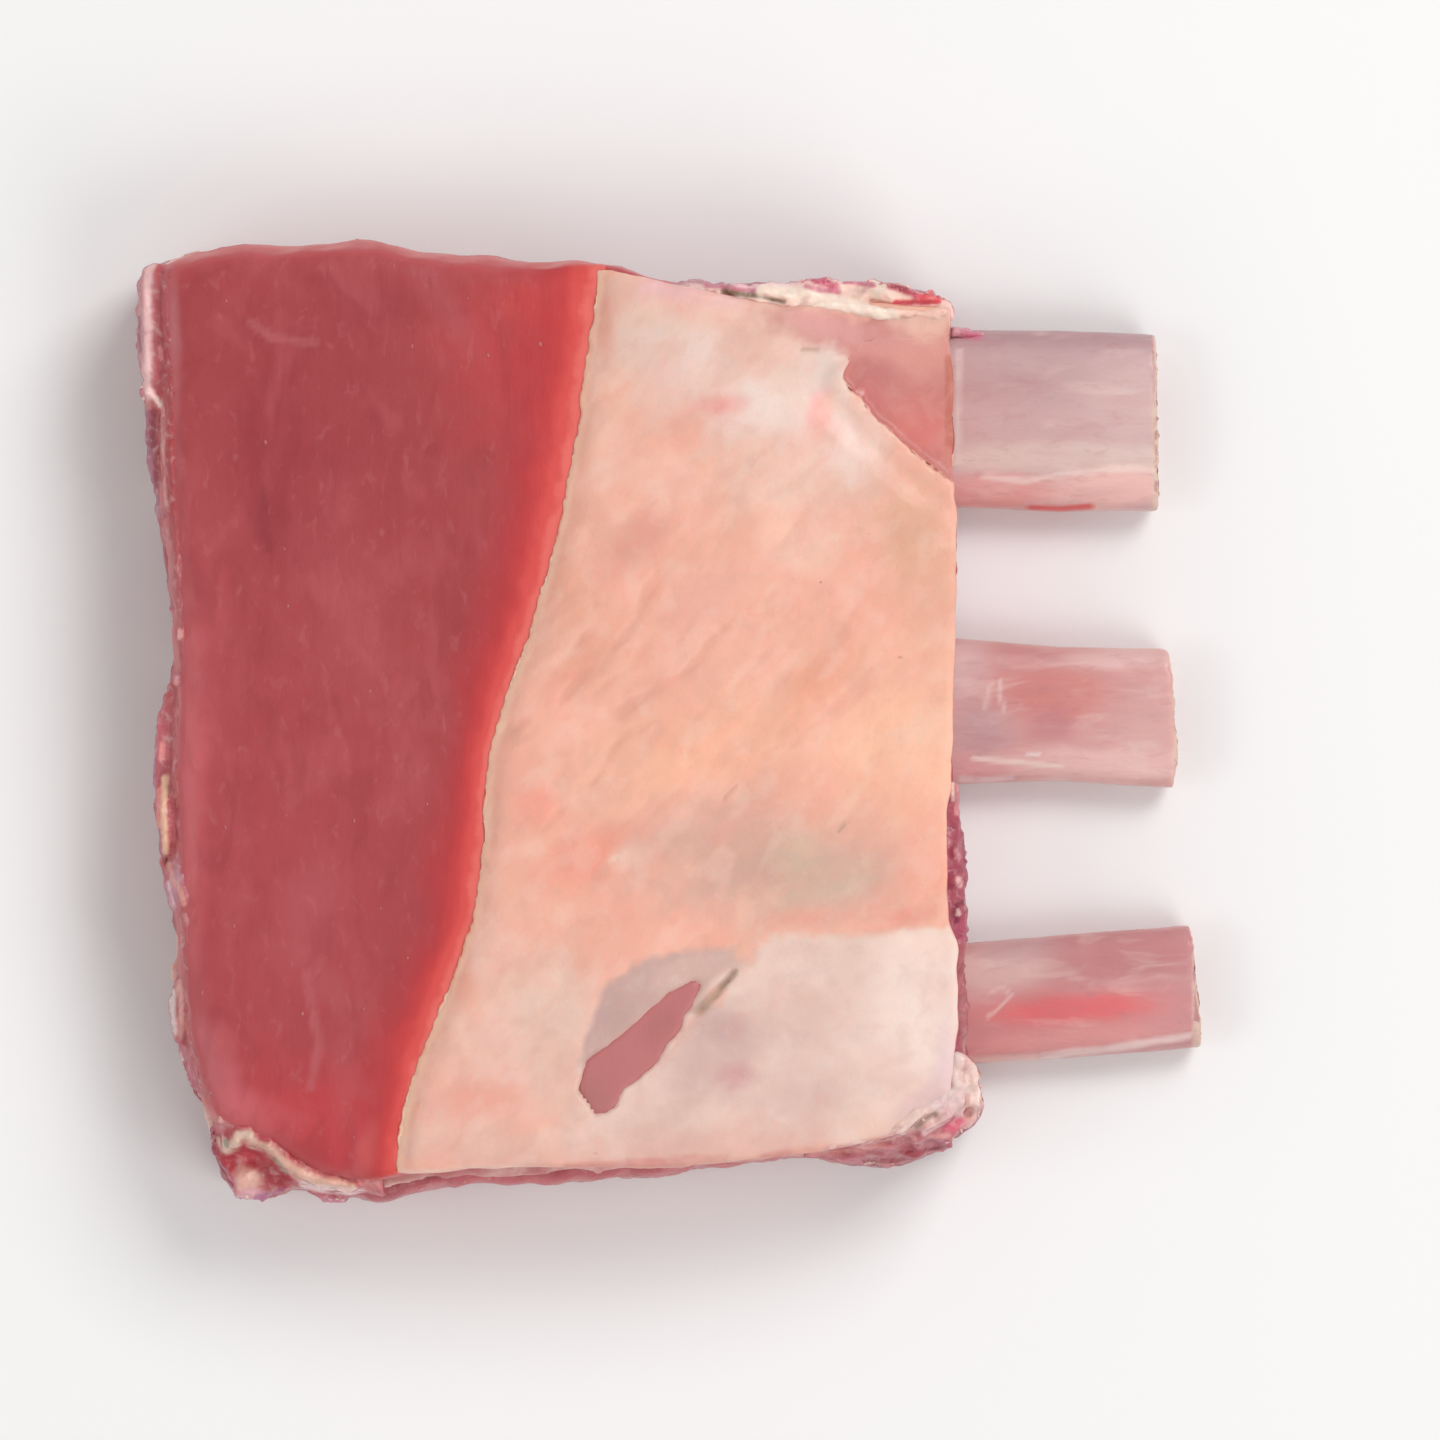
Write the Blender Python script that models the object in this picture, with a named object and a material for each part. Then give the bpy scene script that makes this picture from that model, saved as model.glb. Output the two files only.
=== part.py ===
"""A slab of three beef short ribs, raw, bone side down, its bones scraped clean at one end.

From the underside up it is built as the animal is: three flat rib bones, the rib meat that wraps
them, a thin seam of fat, the top muscle, and a cap of fat over the top muscle that stops short of
the sawn end, where the bare red muscle shows. +X runs along the bones to their clean ends, +Z is
up and the bones lie on Z = 0. Lengths here are in millimetres; solid_object turns them to metres.
"""

import math

import bmesh
import bpy
import numpy as np

MM = 0.001
GAP = 0.3  # left between two pieces that touch

# Levels above the surface that the bones lie on
UNDERSIDE = 0.9
SEAM_LEVEL = 21.5
SEAM_THICKNESS = 2.6
MUSCLE_LEVEL = 38.5
MUSCLE_DOME = 3.2
FAT_AT_EDGE = 2.3
FAT_FULL = 5.4
FAT_RISE = 16.0  # how far from its free edge the fat cap reaches its full thickness
SHOULDER = 5.5  # rounding of the bare muscle's upper rim
SAWN_RIM = 0.9  # rounding where a knife or saw left a crisp rim

# The slab seen from above: each side of the top muscle, anticlockwise, one corner to the next
SIDE_BOTTOM = [(-104.7, -91.9), (-93.5, -97.4), (-80.2, -104.3), (-70.2, -105.9), (-57.5, -103.8),
               (-29.9, -102.4), (-4.6, -102.7), (20.7, -100.6), (43.7, -97.2), (57.5, -92.4), (64.4, -86.8)]
SIDE_RIGHT = [(64.4, -86.8), (66.6, -70.7), (66.6, -54.6), (65.1, -36.2), (65.3, -13.2),
              (65.8, 16.7), (66.4, 37.4), (65.6, 62.7), (65.3, 83.4), (64.8, 95.6)]
SIDE_TOP = [(64.8, 95.6), (54.0, 96.4), (43.7, 97.2), (27.0, 96.2), (11.5, 98.6), (-4.6, 102.5),
            (-18.4, 105.5), (-34.5, 106.1), (-52.9, 107.5), (-67.9, 110.3), (-87.4, 109.6),
            (-106.0, 108.6), (-117.6, 104.5)]
SIDE_LEFT = [(-117.6, 104.5), (-117.4, 95.2), (-117.2, 76.0), (-117.0, 55.0), (-114.6, 30.0),
             (-113.6, 14.4), (-114.3, -10.0), (-113.6, -40.8), (-112.0, -63.8), (-109.3, -81.1),
             (-104.7, -91.9)]
# The rib meat under it is the wider of the two, and ragged where the knife pulled at it
MEAT_BOTTOM = [(-101.1, -109.4), (-91.9, -110.1), (-86.4, -107.3), (-77.0, -111.0), (-63.1, -110.0),
               (-52.8, -107.5), (-29.8, -106.8), (-4.5, -105.2), (18.5, -102.2), (33.5, -101.1),
               (50.7, -103.2), (60.5, -100.2), (70.0, -93.6), (72.3, -88.7)]
MEAT_RIGHT = [(72.3, -88.7), (71.2, -81.0), (68.3, -73.0), (68.0, -40.8), (65.4, -20.0), (64.9, 5.0),
              (65.6, 42.0), (64.8, 94.4)]
MEAT_TOP = [(64.8, 94.4), (60.4, 99.0), (50.0, 101.4), (11.6, 101.0), (-4.5, 102.3), (-25.2, 105.4),
            (-39.0, 106.0), (-55.1, 107.6), (-68.9, 109.8), (-85.0, 109.6), (-108.0, 108.2),
            (-121.0, 104.6)]
MEAT_LEFT = [(-121.0, 104.6), (-122.0, 96.0), (-120.9, 75.0), (-118.0, 46.0), (-114.6, 17.0),
             (-118.6, -12.0), (-116.5, -37.0), (-113.6, -50.0), (-115.4, -64.0), (-111.7, -81.5),
             (-105.9, -92.0), (-105.8, -99.0), (-101.1, -109.4)]
# The free edge of the fat cap, from the top of the slab down to the bottom
FAT_EDGE = [(-16.8, 104.5), (-18.9, 88.0), (-21.4, 69.6), (-24.8, 50.0), (-28.8, 33.9), (-33.4, 19.0),
            (-38.0, 6.3), (-42.1, -8.6), (-43.7, -29.3), (-45.3, -44.3), (-48.8, -54.6),
            (-54.7, -69.6), (-60.3, -83.4), (-62.9, -96.0), (-63.6, -104.3)]

# Where the seam of fat swells out past its neighbours: centre x and y, radius, reach
SEAM_SWELLS = [(-121, 88, 24, 2.4), (-118, -20, 16, 0.8), (-114, -63, 10, 1.2), (-100, -100, 9, 1.5),
               (71, -87, 9, 3.6), (30, 100, 22, 0.8)]

# Each bone: the line of its middle at the sawn end, where it leaves the meat and at its clean end,
# its widths at those places and halfway along the clean part, and its thickness
CLEAN_FROM = 66.0
BONES = {
    "rib_bone_wide": dict(line=[(-118.9, 68.0), (CLEAN_FROM, 70.3), (113.0, 69.3)],
                          widths=(39.0, 41.2, 42.0, 41.0), thickness=14.5, skew=0.3, dome=0.2),
    "rib_bone_middle": dict(line=[(-114.9, 1.5), (CLEAN_FROM, 2.6), (117.9, 0.9)],
                            widths=(32.5, 34.0, 31.0, 32.4), thickness=13.5, skew=0.7, dome=1.9),
    "rib_bone_narrow": dict(line=[(-112.0, -69.5), (CLEAN_FROM, -65.4), (122.2, -61.2)],
                            widths=(28.5, 28.0, 28.6, 28.3), thickness=12.5, skew=1.3, dome=0.2),
}
SECTION_SQUARENESS = 2.9  # 2 is an ellipse; a rib is nearer a plank
BELLY_FLAT = 0.55  # share of the width on which a bone lies
SAW_SLANT = 0.06  # the saw crossed the bones a little askew
HOLLOW = 1.9  # how far the underside of the meat rises between two bones

# Openings in the fat cap
WINDOW_START = (-19.0, -88.6)
WINDOW_END = (18.5, -50.8)
WINDOW_WIDTHS = (5.5, 10.8, 11.4, 10.4, 7.8, 4.2, 2.2, 1.2)
WINDOW_FLARE = 1.10  # the walls lean out towards the top
PATCH_OUTLINE = [(44.5, 87.6), (41.2, 83.8), (39.6, 79.0), (43.8, 74.2), (47.7, 69.4), (50.9, 67.0),
                 (55.3, 62.7), (59.9, 59.2), (64.5, 55.3), (72.0, 51.5), (72.0, 88.2), (60.0, 88.8)]
PATCH_SKIN = 1.5  # fat left on the muscle in the trimmed corner

LONG_SEGMENTS = 42  # outline segments along a side that crosses the bones
SHORT_SEGMENTS = 36  # and along a side that runs with them
CAP_SEGMENTS = 22  # the fat cap is only about half as long


# Curves and grids

def smooth_line(points, count):
    """count + 1 points, evenly spaced along a Catmull-Rom curve through the given ones."""
    given = np.array(points, float)
    padded = np.vstack([2 * given[0] - given[1], given, 2 * given[-1] - given[-2]])
    t = np.linspace(0, 1, 12, endpoint=False)[:, None]
    dense = []
    for a, b, c, d in zip(padded, padded[1:], padded[2:], padded[3:]):
        dense.append(0.5 * (2 * b + (c - a) * t + (2 * a - 5 * b + 4 * c - d) * t**2
                            + (3 * b - a - 3 * c + d) * t**3))
    dense = np.vstack(dense + [given[-1:]])
    run = np.concatenate([[0], np.cumsum(np.linalg.norm(np.diff(dense, axis=0), axis=1))])
    stations = np.linspace(0, run[-1], count + 1)
    return np.column_stack([np.interp(stations, run, dense[:, axis]) for axis in (0, 1)])


def closed_loop(sides, counts):
    """The sides joined end to end, each without its last point."""
    return np.vstack([smooth_line(side, count)[:-1] for side, count in zip(sides, counts)])


def outward(loop):
    """Unit normals of an anticlockwise loop, smoothed over two neighbours each way."""
    along = sum(np.roll(loop, -step, axis=0) - np.roll(loop, step, axis=0) for step in (1, 2))
    normals = np.column_stack([along[:, 1], -along[:, 0]])
    return normals / np.linalg.norm(normals, axis=1, keepdims=True)


def uneven(loop, amplitude, wavelengths, seed):
    """A wander in and out along the loop, from a few waves with seeded phases."""
    random = np.random.default_rng(seed)
    steps = np.linalg.norm(loop - np.roll(loop, 1, axis=0), axis=1)
    run = np.cumsum(steps)
    length = run[-1]
    waves = np.zeros(len(loop))
    for wavelength in wavelengths:
        turns = max(1, round(length / wavelength))
        waves += np.sin(2 * math.pi * (turns * run / length + random.random()))
    return amplitude * waves / math.sqrt(len(wavelengths))


def spread(loop, swells, amplitude, wavelengths, seed, base=0.0):
    """The loop moved outwards by base, by its swells and by an uneven wander."""
    reach = base + uneven(loop, amplitude, wavelengths, seed)
    for x, y, radius, height in swells:
        distance = np.hypot(loop[:, 0] - x, loop[:, 1] - y)
        reach = reach + height * np.exp(-((distance / radius) ** 2))
    return loop + outward(loop) * reach[:, None]


def inner_grid(loop, n_u, n_v, step):
    """A grid of points that fills the loop, blended from its four sides (a Coons patch)."""
    wrapped = np.vstack([loop, loop[:1]])
    bottom = wrapped[0:n_u + 1:step]
    right = wrapped[n_u:n_u + n_v + 1:step]
    top = wrapped[n_u + n_v:2 * n_u + n_v + 1:step][::-1]
    left = wrapped[2 * n_u + n_v:2 * (n_u + n_v) + 1:step][::-1]
    u = np.linspace(0, 1, len(bottom))[:, None, None]
    v = np.linspace(0, 1, len(right))[None, :, None]
    blend = (1 - v) * bottom[:, None] + v * top[:, None] + (1 - u) * left[None] + u * right[None]
    corners = ((1 - u) * (1 - v) * bottom[0] + u * (1 - v) * bottom[-1]
               + (1 - u) * v * top[0] + u * v * top[-1])
    return blend - corners


# Levels

def seam_height(x, y):
    """The seam between the rib meat and the top muscle rises and falls gently."""
    return SEAM_LEVEL + 1.1 * np.sin(x / 30 + 0.7) * np.cos(y / 34 + 0.3)


def muscle_height(x, y):
    """The top muscle is highest in the middle and sinks towards the slab's rim."""
    dome = (1 - ((x + 22) / 118) ** 2) * (1 - (y / 128) ** 2)
    ripple = 0.45 * np.sin(x / 17 + y / 41 + 1.2) * np.cos(y / 23 - 0.4)
    return MUSCLE_LEVEL + MUSCLE_DOME * dome + ripple


def from_fat_edge(x, y):
    """How far right of the fat cap's free edge a place lies."""
    edge = np.array(FAT_EDGE)[::-1]
    return x - np.interp(y, edge[:, 1], edge[:, 0])


def fat_height(x, y):
    """The fat cap thickens away from its free edge, with soft lumps and two shallow hollows."""
    grow = 1 - np.exp(-np.maximum(from_fat_edge(x, y), 0) / FAT_RISE)
    lumps = 0.5 * np.sin(x / 6.5 + y / 15) * np.sin(y / 8.0 - x / 19 + 1.0) + 0.3 * np.sin(x / 4.6 - y / 5.4)
    hollow = 1.3 * np.exp(-((x - 24) / 15) ** 2 - ((y + 30) / 9) ** 2)
    halo = 1.7 * np.exp(-((x - y / 1.08 - 71) / 15) ** 2 - ((x + y / 1.08 + 64) / 34) ** 2)
    return muscle_height(x, y) + FAT_AT_EDGE + (FAT_FULL - FAT_AT_EDGE) * grow + lumps * grow - hollow - halo


# Building pieces

def material(name, colour, roughness):
    """A plain coloured surface."""
    made = bpy.data.materials.new(name)
    made.use_nodes = True
    shader = made.node_tree.nodes["Principled BSDF"]
    shader.inputs["Base Color"].default_value = (*colour, 1)
    shader.inputs["Roughness"].default_value = roughness
    return made


def solid_object(name, points, faces, finish):
    """A named object from points in millimetres and faces that point outwards."""
    mesh = bpy.data.meshes.new(name)
    mesh.from_pydata([tuple(point) for point in np.array(points) * MM], [], faces)
    mesh.validate()
    mesh.shade_smooth()
    mesh.set_sharp_from_angle(angle=math.radians(40))
    mesh.materials.append(finish)
    made = bpy.data.objects.new(name, mesh)
    bpy.context.scene.collection.objects.link(made)
    return made


def cap_faces(n_u, n_v, step, loop_start, grid_index):
    """Faces of the grid inside a loop. A cell on the border also takes the loop's points between."""
    cells_u, cells_v = n_u // step, n_v // step
    faces = []
    for i in range(cells_u):
        for j in range(cells_v):
            side_starts = {
                0: i * step if j == 0 else None,
                1: n_u + j * step if i == cells_u - 1 else None,
                2: n_u + n_v + (cells_u - 1 - i) * step if j == cells_v - 1 else None,
                3: 2 * n_u + n_v + (cells_v - 1 - j) * step if i == 0 else None,
            }
            corners = [(i, j), (i + 1, j), (i + 1, j + 1), (i, j + 1)]
            face = []
            for edge, corner in enumerate(corners):
                face.append(int(grid_index[corner]))
                if side_starts[edge] is not None:
                    face += [loop_start + side_starts[edge] + more for more in range(1, step)]
            faces.append(face)
    return faces


def add_cap(points, faces, loop, loop_start, counts, step, height, facing_up):
    """Closes one side of a layer over its rim loop, at the heights that height(x, y) gives."""
    n_u, n_v = counts
    grid = inner_grid(loop, n_u, n_v, step)
    cells_u, cells_v = n_u // step, n_v // step
    index = np.zeros((cells_u + 1, cells_v + 1), int)
    index[:, 0] = loop_start + np.arange(0, n_u + 1, step)
    index[-1, :] = loop_start + n_u + np.arange(0, n_v + 1, step)
    index[::-1, -1] = loop_start + n_u + n_v + np.arange(0, n_u + 1, step)
    index[0, ::-1] = loop_start + 2 * n_u + n_v + np.arange(0, n_v + 1, step)
    index[0, 0] = loop_start
    for i in range(1, cells_u):
        for j in range(1, cells_v):
            x, y = grid[i, j]
            index[i, j] = len(points)
            points.append((x, y, float(height(x, y))))
    for face in cap_faces(n_u, n_v, step, loop_start, index):
        faces.append(face if facing_up else face[::-1])


def layer(name, loop, counts, bottom, top, rim, rough, steps, finish):
    """A slab-shaped solid between two heights. rim lists, from the bottom up, how far each ring of
    the wall is drawn in, its share of the way up, and its lift. rough is how far each ring also
    wanders by itself, so that the wall isn't the same all the way up."""
    points, faces = [], []
    normals = outward(loop)
    rings = []
    for place, (drawn_in, share, lift) in enumerate(rim):
        drawn_in = drawn_in + uneven(loop, rough, (10, 16, 27), seed=40 + place)
        ring = loop - normals * drawn_in[:, None]
        low, high = bottom(ring[:, 0], ring[:, 1]), top(ring[:, 0], ring[:, 1])
        heights = low + share * (high - low) + lift
        rings.append((ring, len(points)))
        points += [(x, y, z) for (x, y), z in zip(ring, heights)]
    for (_, lower), (_, upper) in zip(rings, rings[1:]):
        for a in range(len(loop)):
            b = (a + 1) % len(loop)
            faces.append([lower + a, lower + b, upper + b, upper + a])
    add_cap(points, faces, *rings[0], counts, steps[0], bottom, facing_up=False)
    add_cap(points, faces, *rings[-1], counts, steps[1], top, facing_up=True)
    return solid_object(name, points, faces, finish)


def bone(name, spec, finish, grow=0.0, beyond=0.0, stations=15, around=18):
    """One rib: a plank-like section swept along the bone, with a flat strip to lie on. grow makes
    it fatter all round, beyond makes it longer at the sawn end."""
    line = np.array(spec["line"])
    bend = np.polyfit(line[:, 0], line[:, 1], 2)
    start, end = line[0, 0] - beyond, line[-1, 0]
    half_widths = np.array(spec["widths"]) / 2
    width_stations = [line[0, 0], CLEAN_FROM, (CLEAN_FROM + end) / 2, end]
    angles = 2 * math.pi * (np.arange(around) + 0.5) / around
    power = 2 / SECTION_SQUARENESS
    across = np.sign(np.cos(angles)) * np.abs(np.cos(angles)) ** power
    rise = np.sign(np.sin(angles)) * np.abs(np.sin(angles)) ** power
    middle = spec["thickness"] / 2
    points = []
    for run in np.linspace(0, 1, stations):
        centre_x = start + run * (end - start)
        half = np.interp(centre_x, width_stations, half_widths) + grow
        near_end = np.clip((run - 0.8) / 0.2, 0, 1)
        near_saw = np.clip(1 - run / 0.1, 0, 1)
        for side, lift in zip(across, rise):
            x = centre_x - near_end * (spec["skew"] * side + spec["dome"] * side**2)
            x -= near_saw * SAW_SLANT * side * half
            z = -grow if abs(side) < BELLY_FLAT and lift < 0 else middle + lift * (middle + grow)
            points.append((x, np.polyval(bend, centre_x) + side * half, z))
    faces = []
    for ring in range(stations - 1):
        for a in range(around):
            b = (a + 1) % around
            low, high = ring * around, (ring + 1) * around
            faces.append([low + a, high + a, high + b, low + b])
    faces.append(list(range(around)))
    faces.append([(stations - 1) * around + a for a in reversed(range(around))])
    made = solid_object(name, points, faces, finish)
    turn_faces_out(made.data)
    return made


def turn_faces_out(mesh):
    """Makes a closed mesh's faces agree and point outwards."""
    work = bmesh.new()
    work.from_mesh(mesh)
    bmesh.ops.recalc_face_normals(work, faces=work.faces)
    work.to_mesh(mesh)
    work.free()


def prism(name, outline, base, height, flare, finish):
    """An upright cutter on an outline, wider at its top by the share flare. base gives its floor."""
    outline = np.array(outline, float)
    centre = outline.mean(axis=0)
    count = len(outline)
    floor = [(x, y, float(base(x, y))) for x, y in outline]
    roof = [(*(centre + (point - centre) * flare), height) for point in outline]
    faces = [[a, (a + 1) % count, count + (a + 1) % count, count + a] for a in range(count)]
    faces += [list(range(count))[::-1], list(range(count, 2 * count))]
    made = solid_object(name, floor + roof, faces, finish)
    turn_faces_out(made.data)
    return made


def cut(piece, cutter):
    """Takes the cutter's shape out of the piece, and keeps the cutter as a hidden helper."""
    cutter.hide_render = True
    cutter.display_type = "WIRE"
    boolean = piece.modifiers.new("cut_" + cutter.name, "BOOLEAN")
    boolean.operation = "DIFFERENCE"
    boolean.object = cutter


# The pieces

def slab_loop():
    """The top muscle's outline, from above."""
    return closed_loop([SIDE_BOTTOM, SIDE_RIGHT, SIDE_TOP, SIDE_LEFT],
                       [SHORT_SEGMENTS, LONG_SEGMENTS, SHORT_SEGMENTS, LONG_SEGMENTS])


def meat_loop():
    """The rib meat's outline, from above."""
    return closed_loop([MEAT_BOTTOM, MEAT_RIGHT, MEAT_TOP, MEAT_LEFT],
                       [SHORT_SEGMENTS, LONG_SEGMENTS, SHORT_SEGMENTS, LONG_SEGMENTS])


def fat_loop():
    """The fat cap's outline: its own free edge, and the slab's rim for the rest."""
    bottom = [FAT_EDGE[-1]] + [point for point in SIDE_BOTTOM if point[0] > -60]
    top = [point for point in SIDE_TOP if point[0] > -12] + [FAT_EDGE[0]]
    return closed_loop([bottom, SIDE_RIGHT, top, FAT_EDGE],
                       [CAP_SEGMENTS, LONG_SEGMENTS, CAP_SEGMENTS, LONG_SEGMENTS])


def window_outline():
    """The long gap in the fat through which the muscle shows: one bank out, the other back."""
    start, end = np.array(WINDOW_START), np.array(WINDOW_END)
    along = (end - start) / np.linalg.norm(end - start)
    aside = np.array([-along[1], along[0]])
    runs = np.linspace(0, 1, len(WINDOW_WIDTHS))
    banks = [[start + (end - start) * run + side * aside * width / 2
              for run, width in zip(runs, WINDOW_WIDTHS)] for side in (-1, 1)]
    return [start - along * 1.8] + banks[0] + banks[1][::-1]


def underside(x, y):
    """Between two bones the meat's underside rises in a shallow hollow."""
    middles = [np.polyval(np.polyfit(*np.array(spec["line"]).T, 2), x) for spec in BONES.values()]
    halves = [spec["widths"][0] / 2 for spec in BONES.values()]
    hollow = 0
    for upper, lower in ((0, 1), (1, 2)):
        high = middles[upper] - halves[upper]
        low = middles[lower] + halves[lower]
        share = np.clip((y - low) / (high - low), 0, 1)
        hollow = hollow + np.sin(math.pi * share) ** 2
    return UNDERSIDE + HOLLOW * hollow + 0.25 * np.sin(x / 13 + y / 21)


def make_bones(finish):
    return [bone(name, spec, finish) for name, spec in BONES.items()]


def make_rib_meat(finish, cutter_finish):
    """The meat that wraps the bones from above and fills the spaces between them."""
    loop = spread(meat_loop(), [], 0.4, (13, 21, 34), seed=3)
    rim = [(2.2, 0, 0), (0.9, 0, 2.0), (0.0, 0.5, 0), (0.3, 1, -2.0), (1.8, 1, 0)]
    meat = layer("rib_meat", loop, (SHORT_SEGMENTS, LONG_SEGMENTS), underside, seam_height, rim,
                 0.6, (2, 3), finish)
    for name, spec in BONES.items():
        cut(meat, bone("socket_of_" + name, spec, cutter_finish, grow=GAP, beyond=12.0))
    return meat


def make_seam(finish):
    """The thin sheet of fat between the rib meat and the top muscle."""
    loop = spread((slab_loop() + meat_loop()) / 2, SEAM_SWELLS, 0.4, (11, 17, 29), seed=5)
    rim = [(1.0, 0, 0), (0.0, 0.5, 0), (1.0, 1, 0)]
    return layer("seam_fat", loop, (SHORT_SEGMENTS, LONG_SEGMENTS),
                 lambda x, y: seam_height(x, y) + GAP,
                 lambda x, y: seam_height(x, y) + GAP + SEAM_THICKNESS, rim, 0.25, (3, 3), finish)


def make_top_muscle(finish):
    """The muscle that shows bare and red at the sawn end and runs on under the fat cap."""
    loop = spread(slab_loop(), [], 0.35, (15, 27), seed=8)
    bare = np.clip(-from_fat_edge(loop[:, 0], loop[:, 1]) / 8, 0, 1)
    round_off = SAWN_RIM + (SHOULDER - SAWN_RIM) * bare
    rim = [(1.2, 0, 0), (0.0, 0, 1.4), (-0.6, 0.45, 0), (0.0, 1, -round_off),
           (0.32 * round_off, 1, -0.3 * round_off), (round_off, 1, 0)]
    return layer("top_muscle", loop, (SHORT_SEGMENTS, LONG_SEGMENTS),
                 lambda x, y: seam_height(x, y) + 2 * GAP + SEAM_THICKNESS,
                 muscle_height, rim, 0.35, (3, 2), finish)


def make_fat_cap(finish, cutter_finish):
    """The fat on top, with a long gap near its lower side and a trimmed upper corner."""
    loop = spread(fat_loop(), [], 0.3, (9, 16, 26), seed=11, base=-0.3)
    rim = [(0.5, 0, 0), (0.0, 0, 0.6), (0.0, 1, -0.9), (0.9, 1, 0)]
    cap = layer("fat_cap", loop, (CAP_SEGMENTS, LONG_SEGMENTS),
                lambda x, y: muscle_height(x, y) + GAP, fat_height, rim, 0.12, (2, 1), finish)
    above = MUSCLE_LEVEL + 20
    cut(cap, prism("window_cutter", window_outline(), lambda x, y: MUSCLE_LEVEL - 6, above,
                   WINDOW_FLARE, cutter_finish))
    cut(cap, prism("patch_cutter", PATCH_OUTLINE, lambda x, y: muscle_height(x, y) + GAP + PATCH_SKIN,
                   above, 1.0, cutter_finish))
    return cap


def centre_on_origin(holder, pieces):
    """Moves the holder so that the whole stands on the origin, at the middle of its own box."""
    corners = np.array([vertex.co for piece in pieces for vertex in piece.data.vertices])
    middle = (corners.min(axis=0) + corners.max(axis=0)) / 2
    holder.location = (-middle[0], -middle[1], 0)


def build():
    for old in list(bpy.data.objects):
        bpy.data.objects.remove(old)
    bone_finish = material("fresh_bone", (0.66, 0.42, 0.40), 0.45)
    lean_finish = material("raw_lean", (0.42, 0.075, 0.085), 0.40)
    rib_meat_finish = material("raw_rib_meat", (0.45, 0.11, 0.13), 0.42)
    seam_finish = material("seam_fat", (0.80, 0.55, 0.50), 0.45)
    fat_finish = material("cap_fat", (0.87, 0.50, 0.38), 0.45)
    helper_finish = material("helper", (0.5, 0.5, 0.5), 0.8)
    pieces = [*make_bones(bone_finish), make_rib_meat(rib_meat_finish, helper_finish),
              make_seam(seam_finish), make_top_muscle(lean_finish),
              make_fat_cap(fat_finish, helper_finish)]
    slab = bpy.data.objects.new("short_rib_slab", None)
    bpy.context.scene.collection.objects.link(slab)
    for made in list(bpy.context.scene.collection.objects):
        if made is not slab:
            made.parent = slab
    centre_on_origin(slab, pieces)


build()
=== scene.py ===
# %% [markdown]
# # Three beef short ribs, raw
#
# The real object is a slab cut across three rib bones. From the bottom up it has the bones, the rib
# meat that wraps them, a thin seam of fat, the top muscle and a thick cap of fat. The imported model
# already holds these layers as plain solids at their real size. This lesson gives each layer its
# true surface: it never moves a solid, it covers each one with a finer mesh of the same form.
#
# Lengths in this script are in millimetres, and become metres where a mesh is written.

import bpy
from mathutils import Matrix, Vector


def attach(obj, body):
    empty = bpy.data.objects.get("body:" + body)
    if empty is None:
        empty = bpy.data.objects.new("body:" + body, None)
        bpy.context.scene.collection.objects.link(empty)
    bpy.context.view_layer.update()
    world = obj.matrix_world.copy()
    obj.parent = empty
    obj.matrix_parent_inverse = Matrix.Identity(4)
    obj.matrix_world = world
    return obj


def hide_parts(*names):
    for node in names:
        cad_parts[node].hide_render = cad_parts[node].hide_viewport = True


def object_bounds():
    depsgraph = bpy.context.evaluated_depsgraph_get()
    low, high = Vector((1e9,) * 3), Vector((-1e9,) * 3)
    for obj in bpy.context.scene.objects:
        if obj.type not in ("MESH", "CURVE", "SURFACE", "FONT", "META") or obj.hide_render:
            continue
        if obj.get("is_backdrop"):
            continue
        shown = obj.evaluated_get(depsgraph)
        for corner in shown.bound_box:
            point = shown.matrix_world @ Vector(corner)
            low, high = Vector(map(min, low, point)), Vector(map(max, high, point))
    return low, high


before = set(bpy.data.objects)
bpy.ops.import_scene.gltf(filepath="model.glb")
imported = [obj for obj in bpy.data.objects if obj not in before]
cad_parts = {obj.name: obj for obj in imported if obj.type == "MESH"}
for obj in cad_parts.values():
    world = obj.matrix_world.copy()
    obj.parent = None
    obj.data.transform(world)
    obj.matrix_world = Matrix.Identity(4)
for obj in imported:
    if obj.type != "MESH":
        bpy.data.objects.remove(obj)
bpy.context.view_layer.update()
print("nodes:", sorted(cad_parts))

# %% Modules and units
import math

import bmesh
import bpy
import numpy as np
from mathutils import Vector, noise
from mathutils.bvhtree import BVHTree

MM = 0.001
scene = bpy.context.scene

# %% [markdown]
# ## Camera, floor and light
#
# The photo looks straight down. A long lens keeps the sides of the slab out of sight, as there, and
# 0.23 mm of the slab fills one pixel of a frame of 1440 pixels. The frame's middle lies a little to
# the right of the slab's middle. The view transform is the plain one, so that a colour given to a
# surface is the colour seen under a light of normal strength.

# %% Camera straight above
FRAME_PIXELS = 1440
PIXEL = 0.23
LENS = 400.0
SENSOR = 36.0
FRAME_MIDDLE = (11.2, 0.3)
SHARP_LEVEL = 38.0

camera_data = bpy.data.cameras.new("camera_above")
camera_data.lens = LENS
camera_data.sensor_width = SENSOR
camera = bpy.data.objects.new("camera_above", camera_data)
camera_height = SHARP_LEVEL + FRAME_PIXELS * PIXEL * LENS / SENSOR
camera.location = (FRAME_MIDDLE[0] * MM, FRAME_MIDDLE[1] * MM, camera_height * MM)
camera_data.clip_end = 20.0
scene.collection.objects.link(camera)
scene.camera = camera
scene.view_settings.view_transform = "Standard"
print(f"camera {camera_height:.0f} mm above the floor")


# %% [markdown]
# Two helpers serve every material: one turns a colour written as sRGB hex into the linear values
# that Blender computes with, the other adds a node together with its settings and links.

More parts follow.
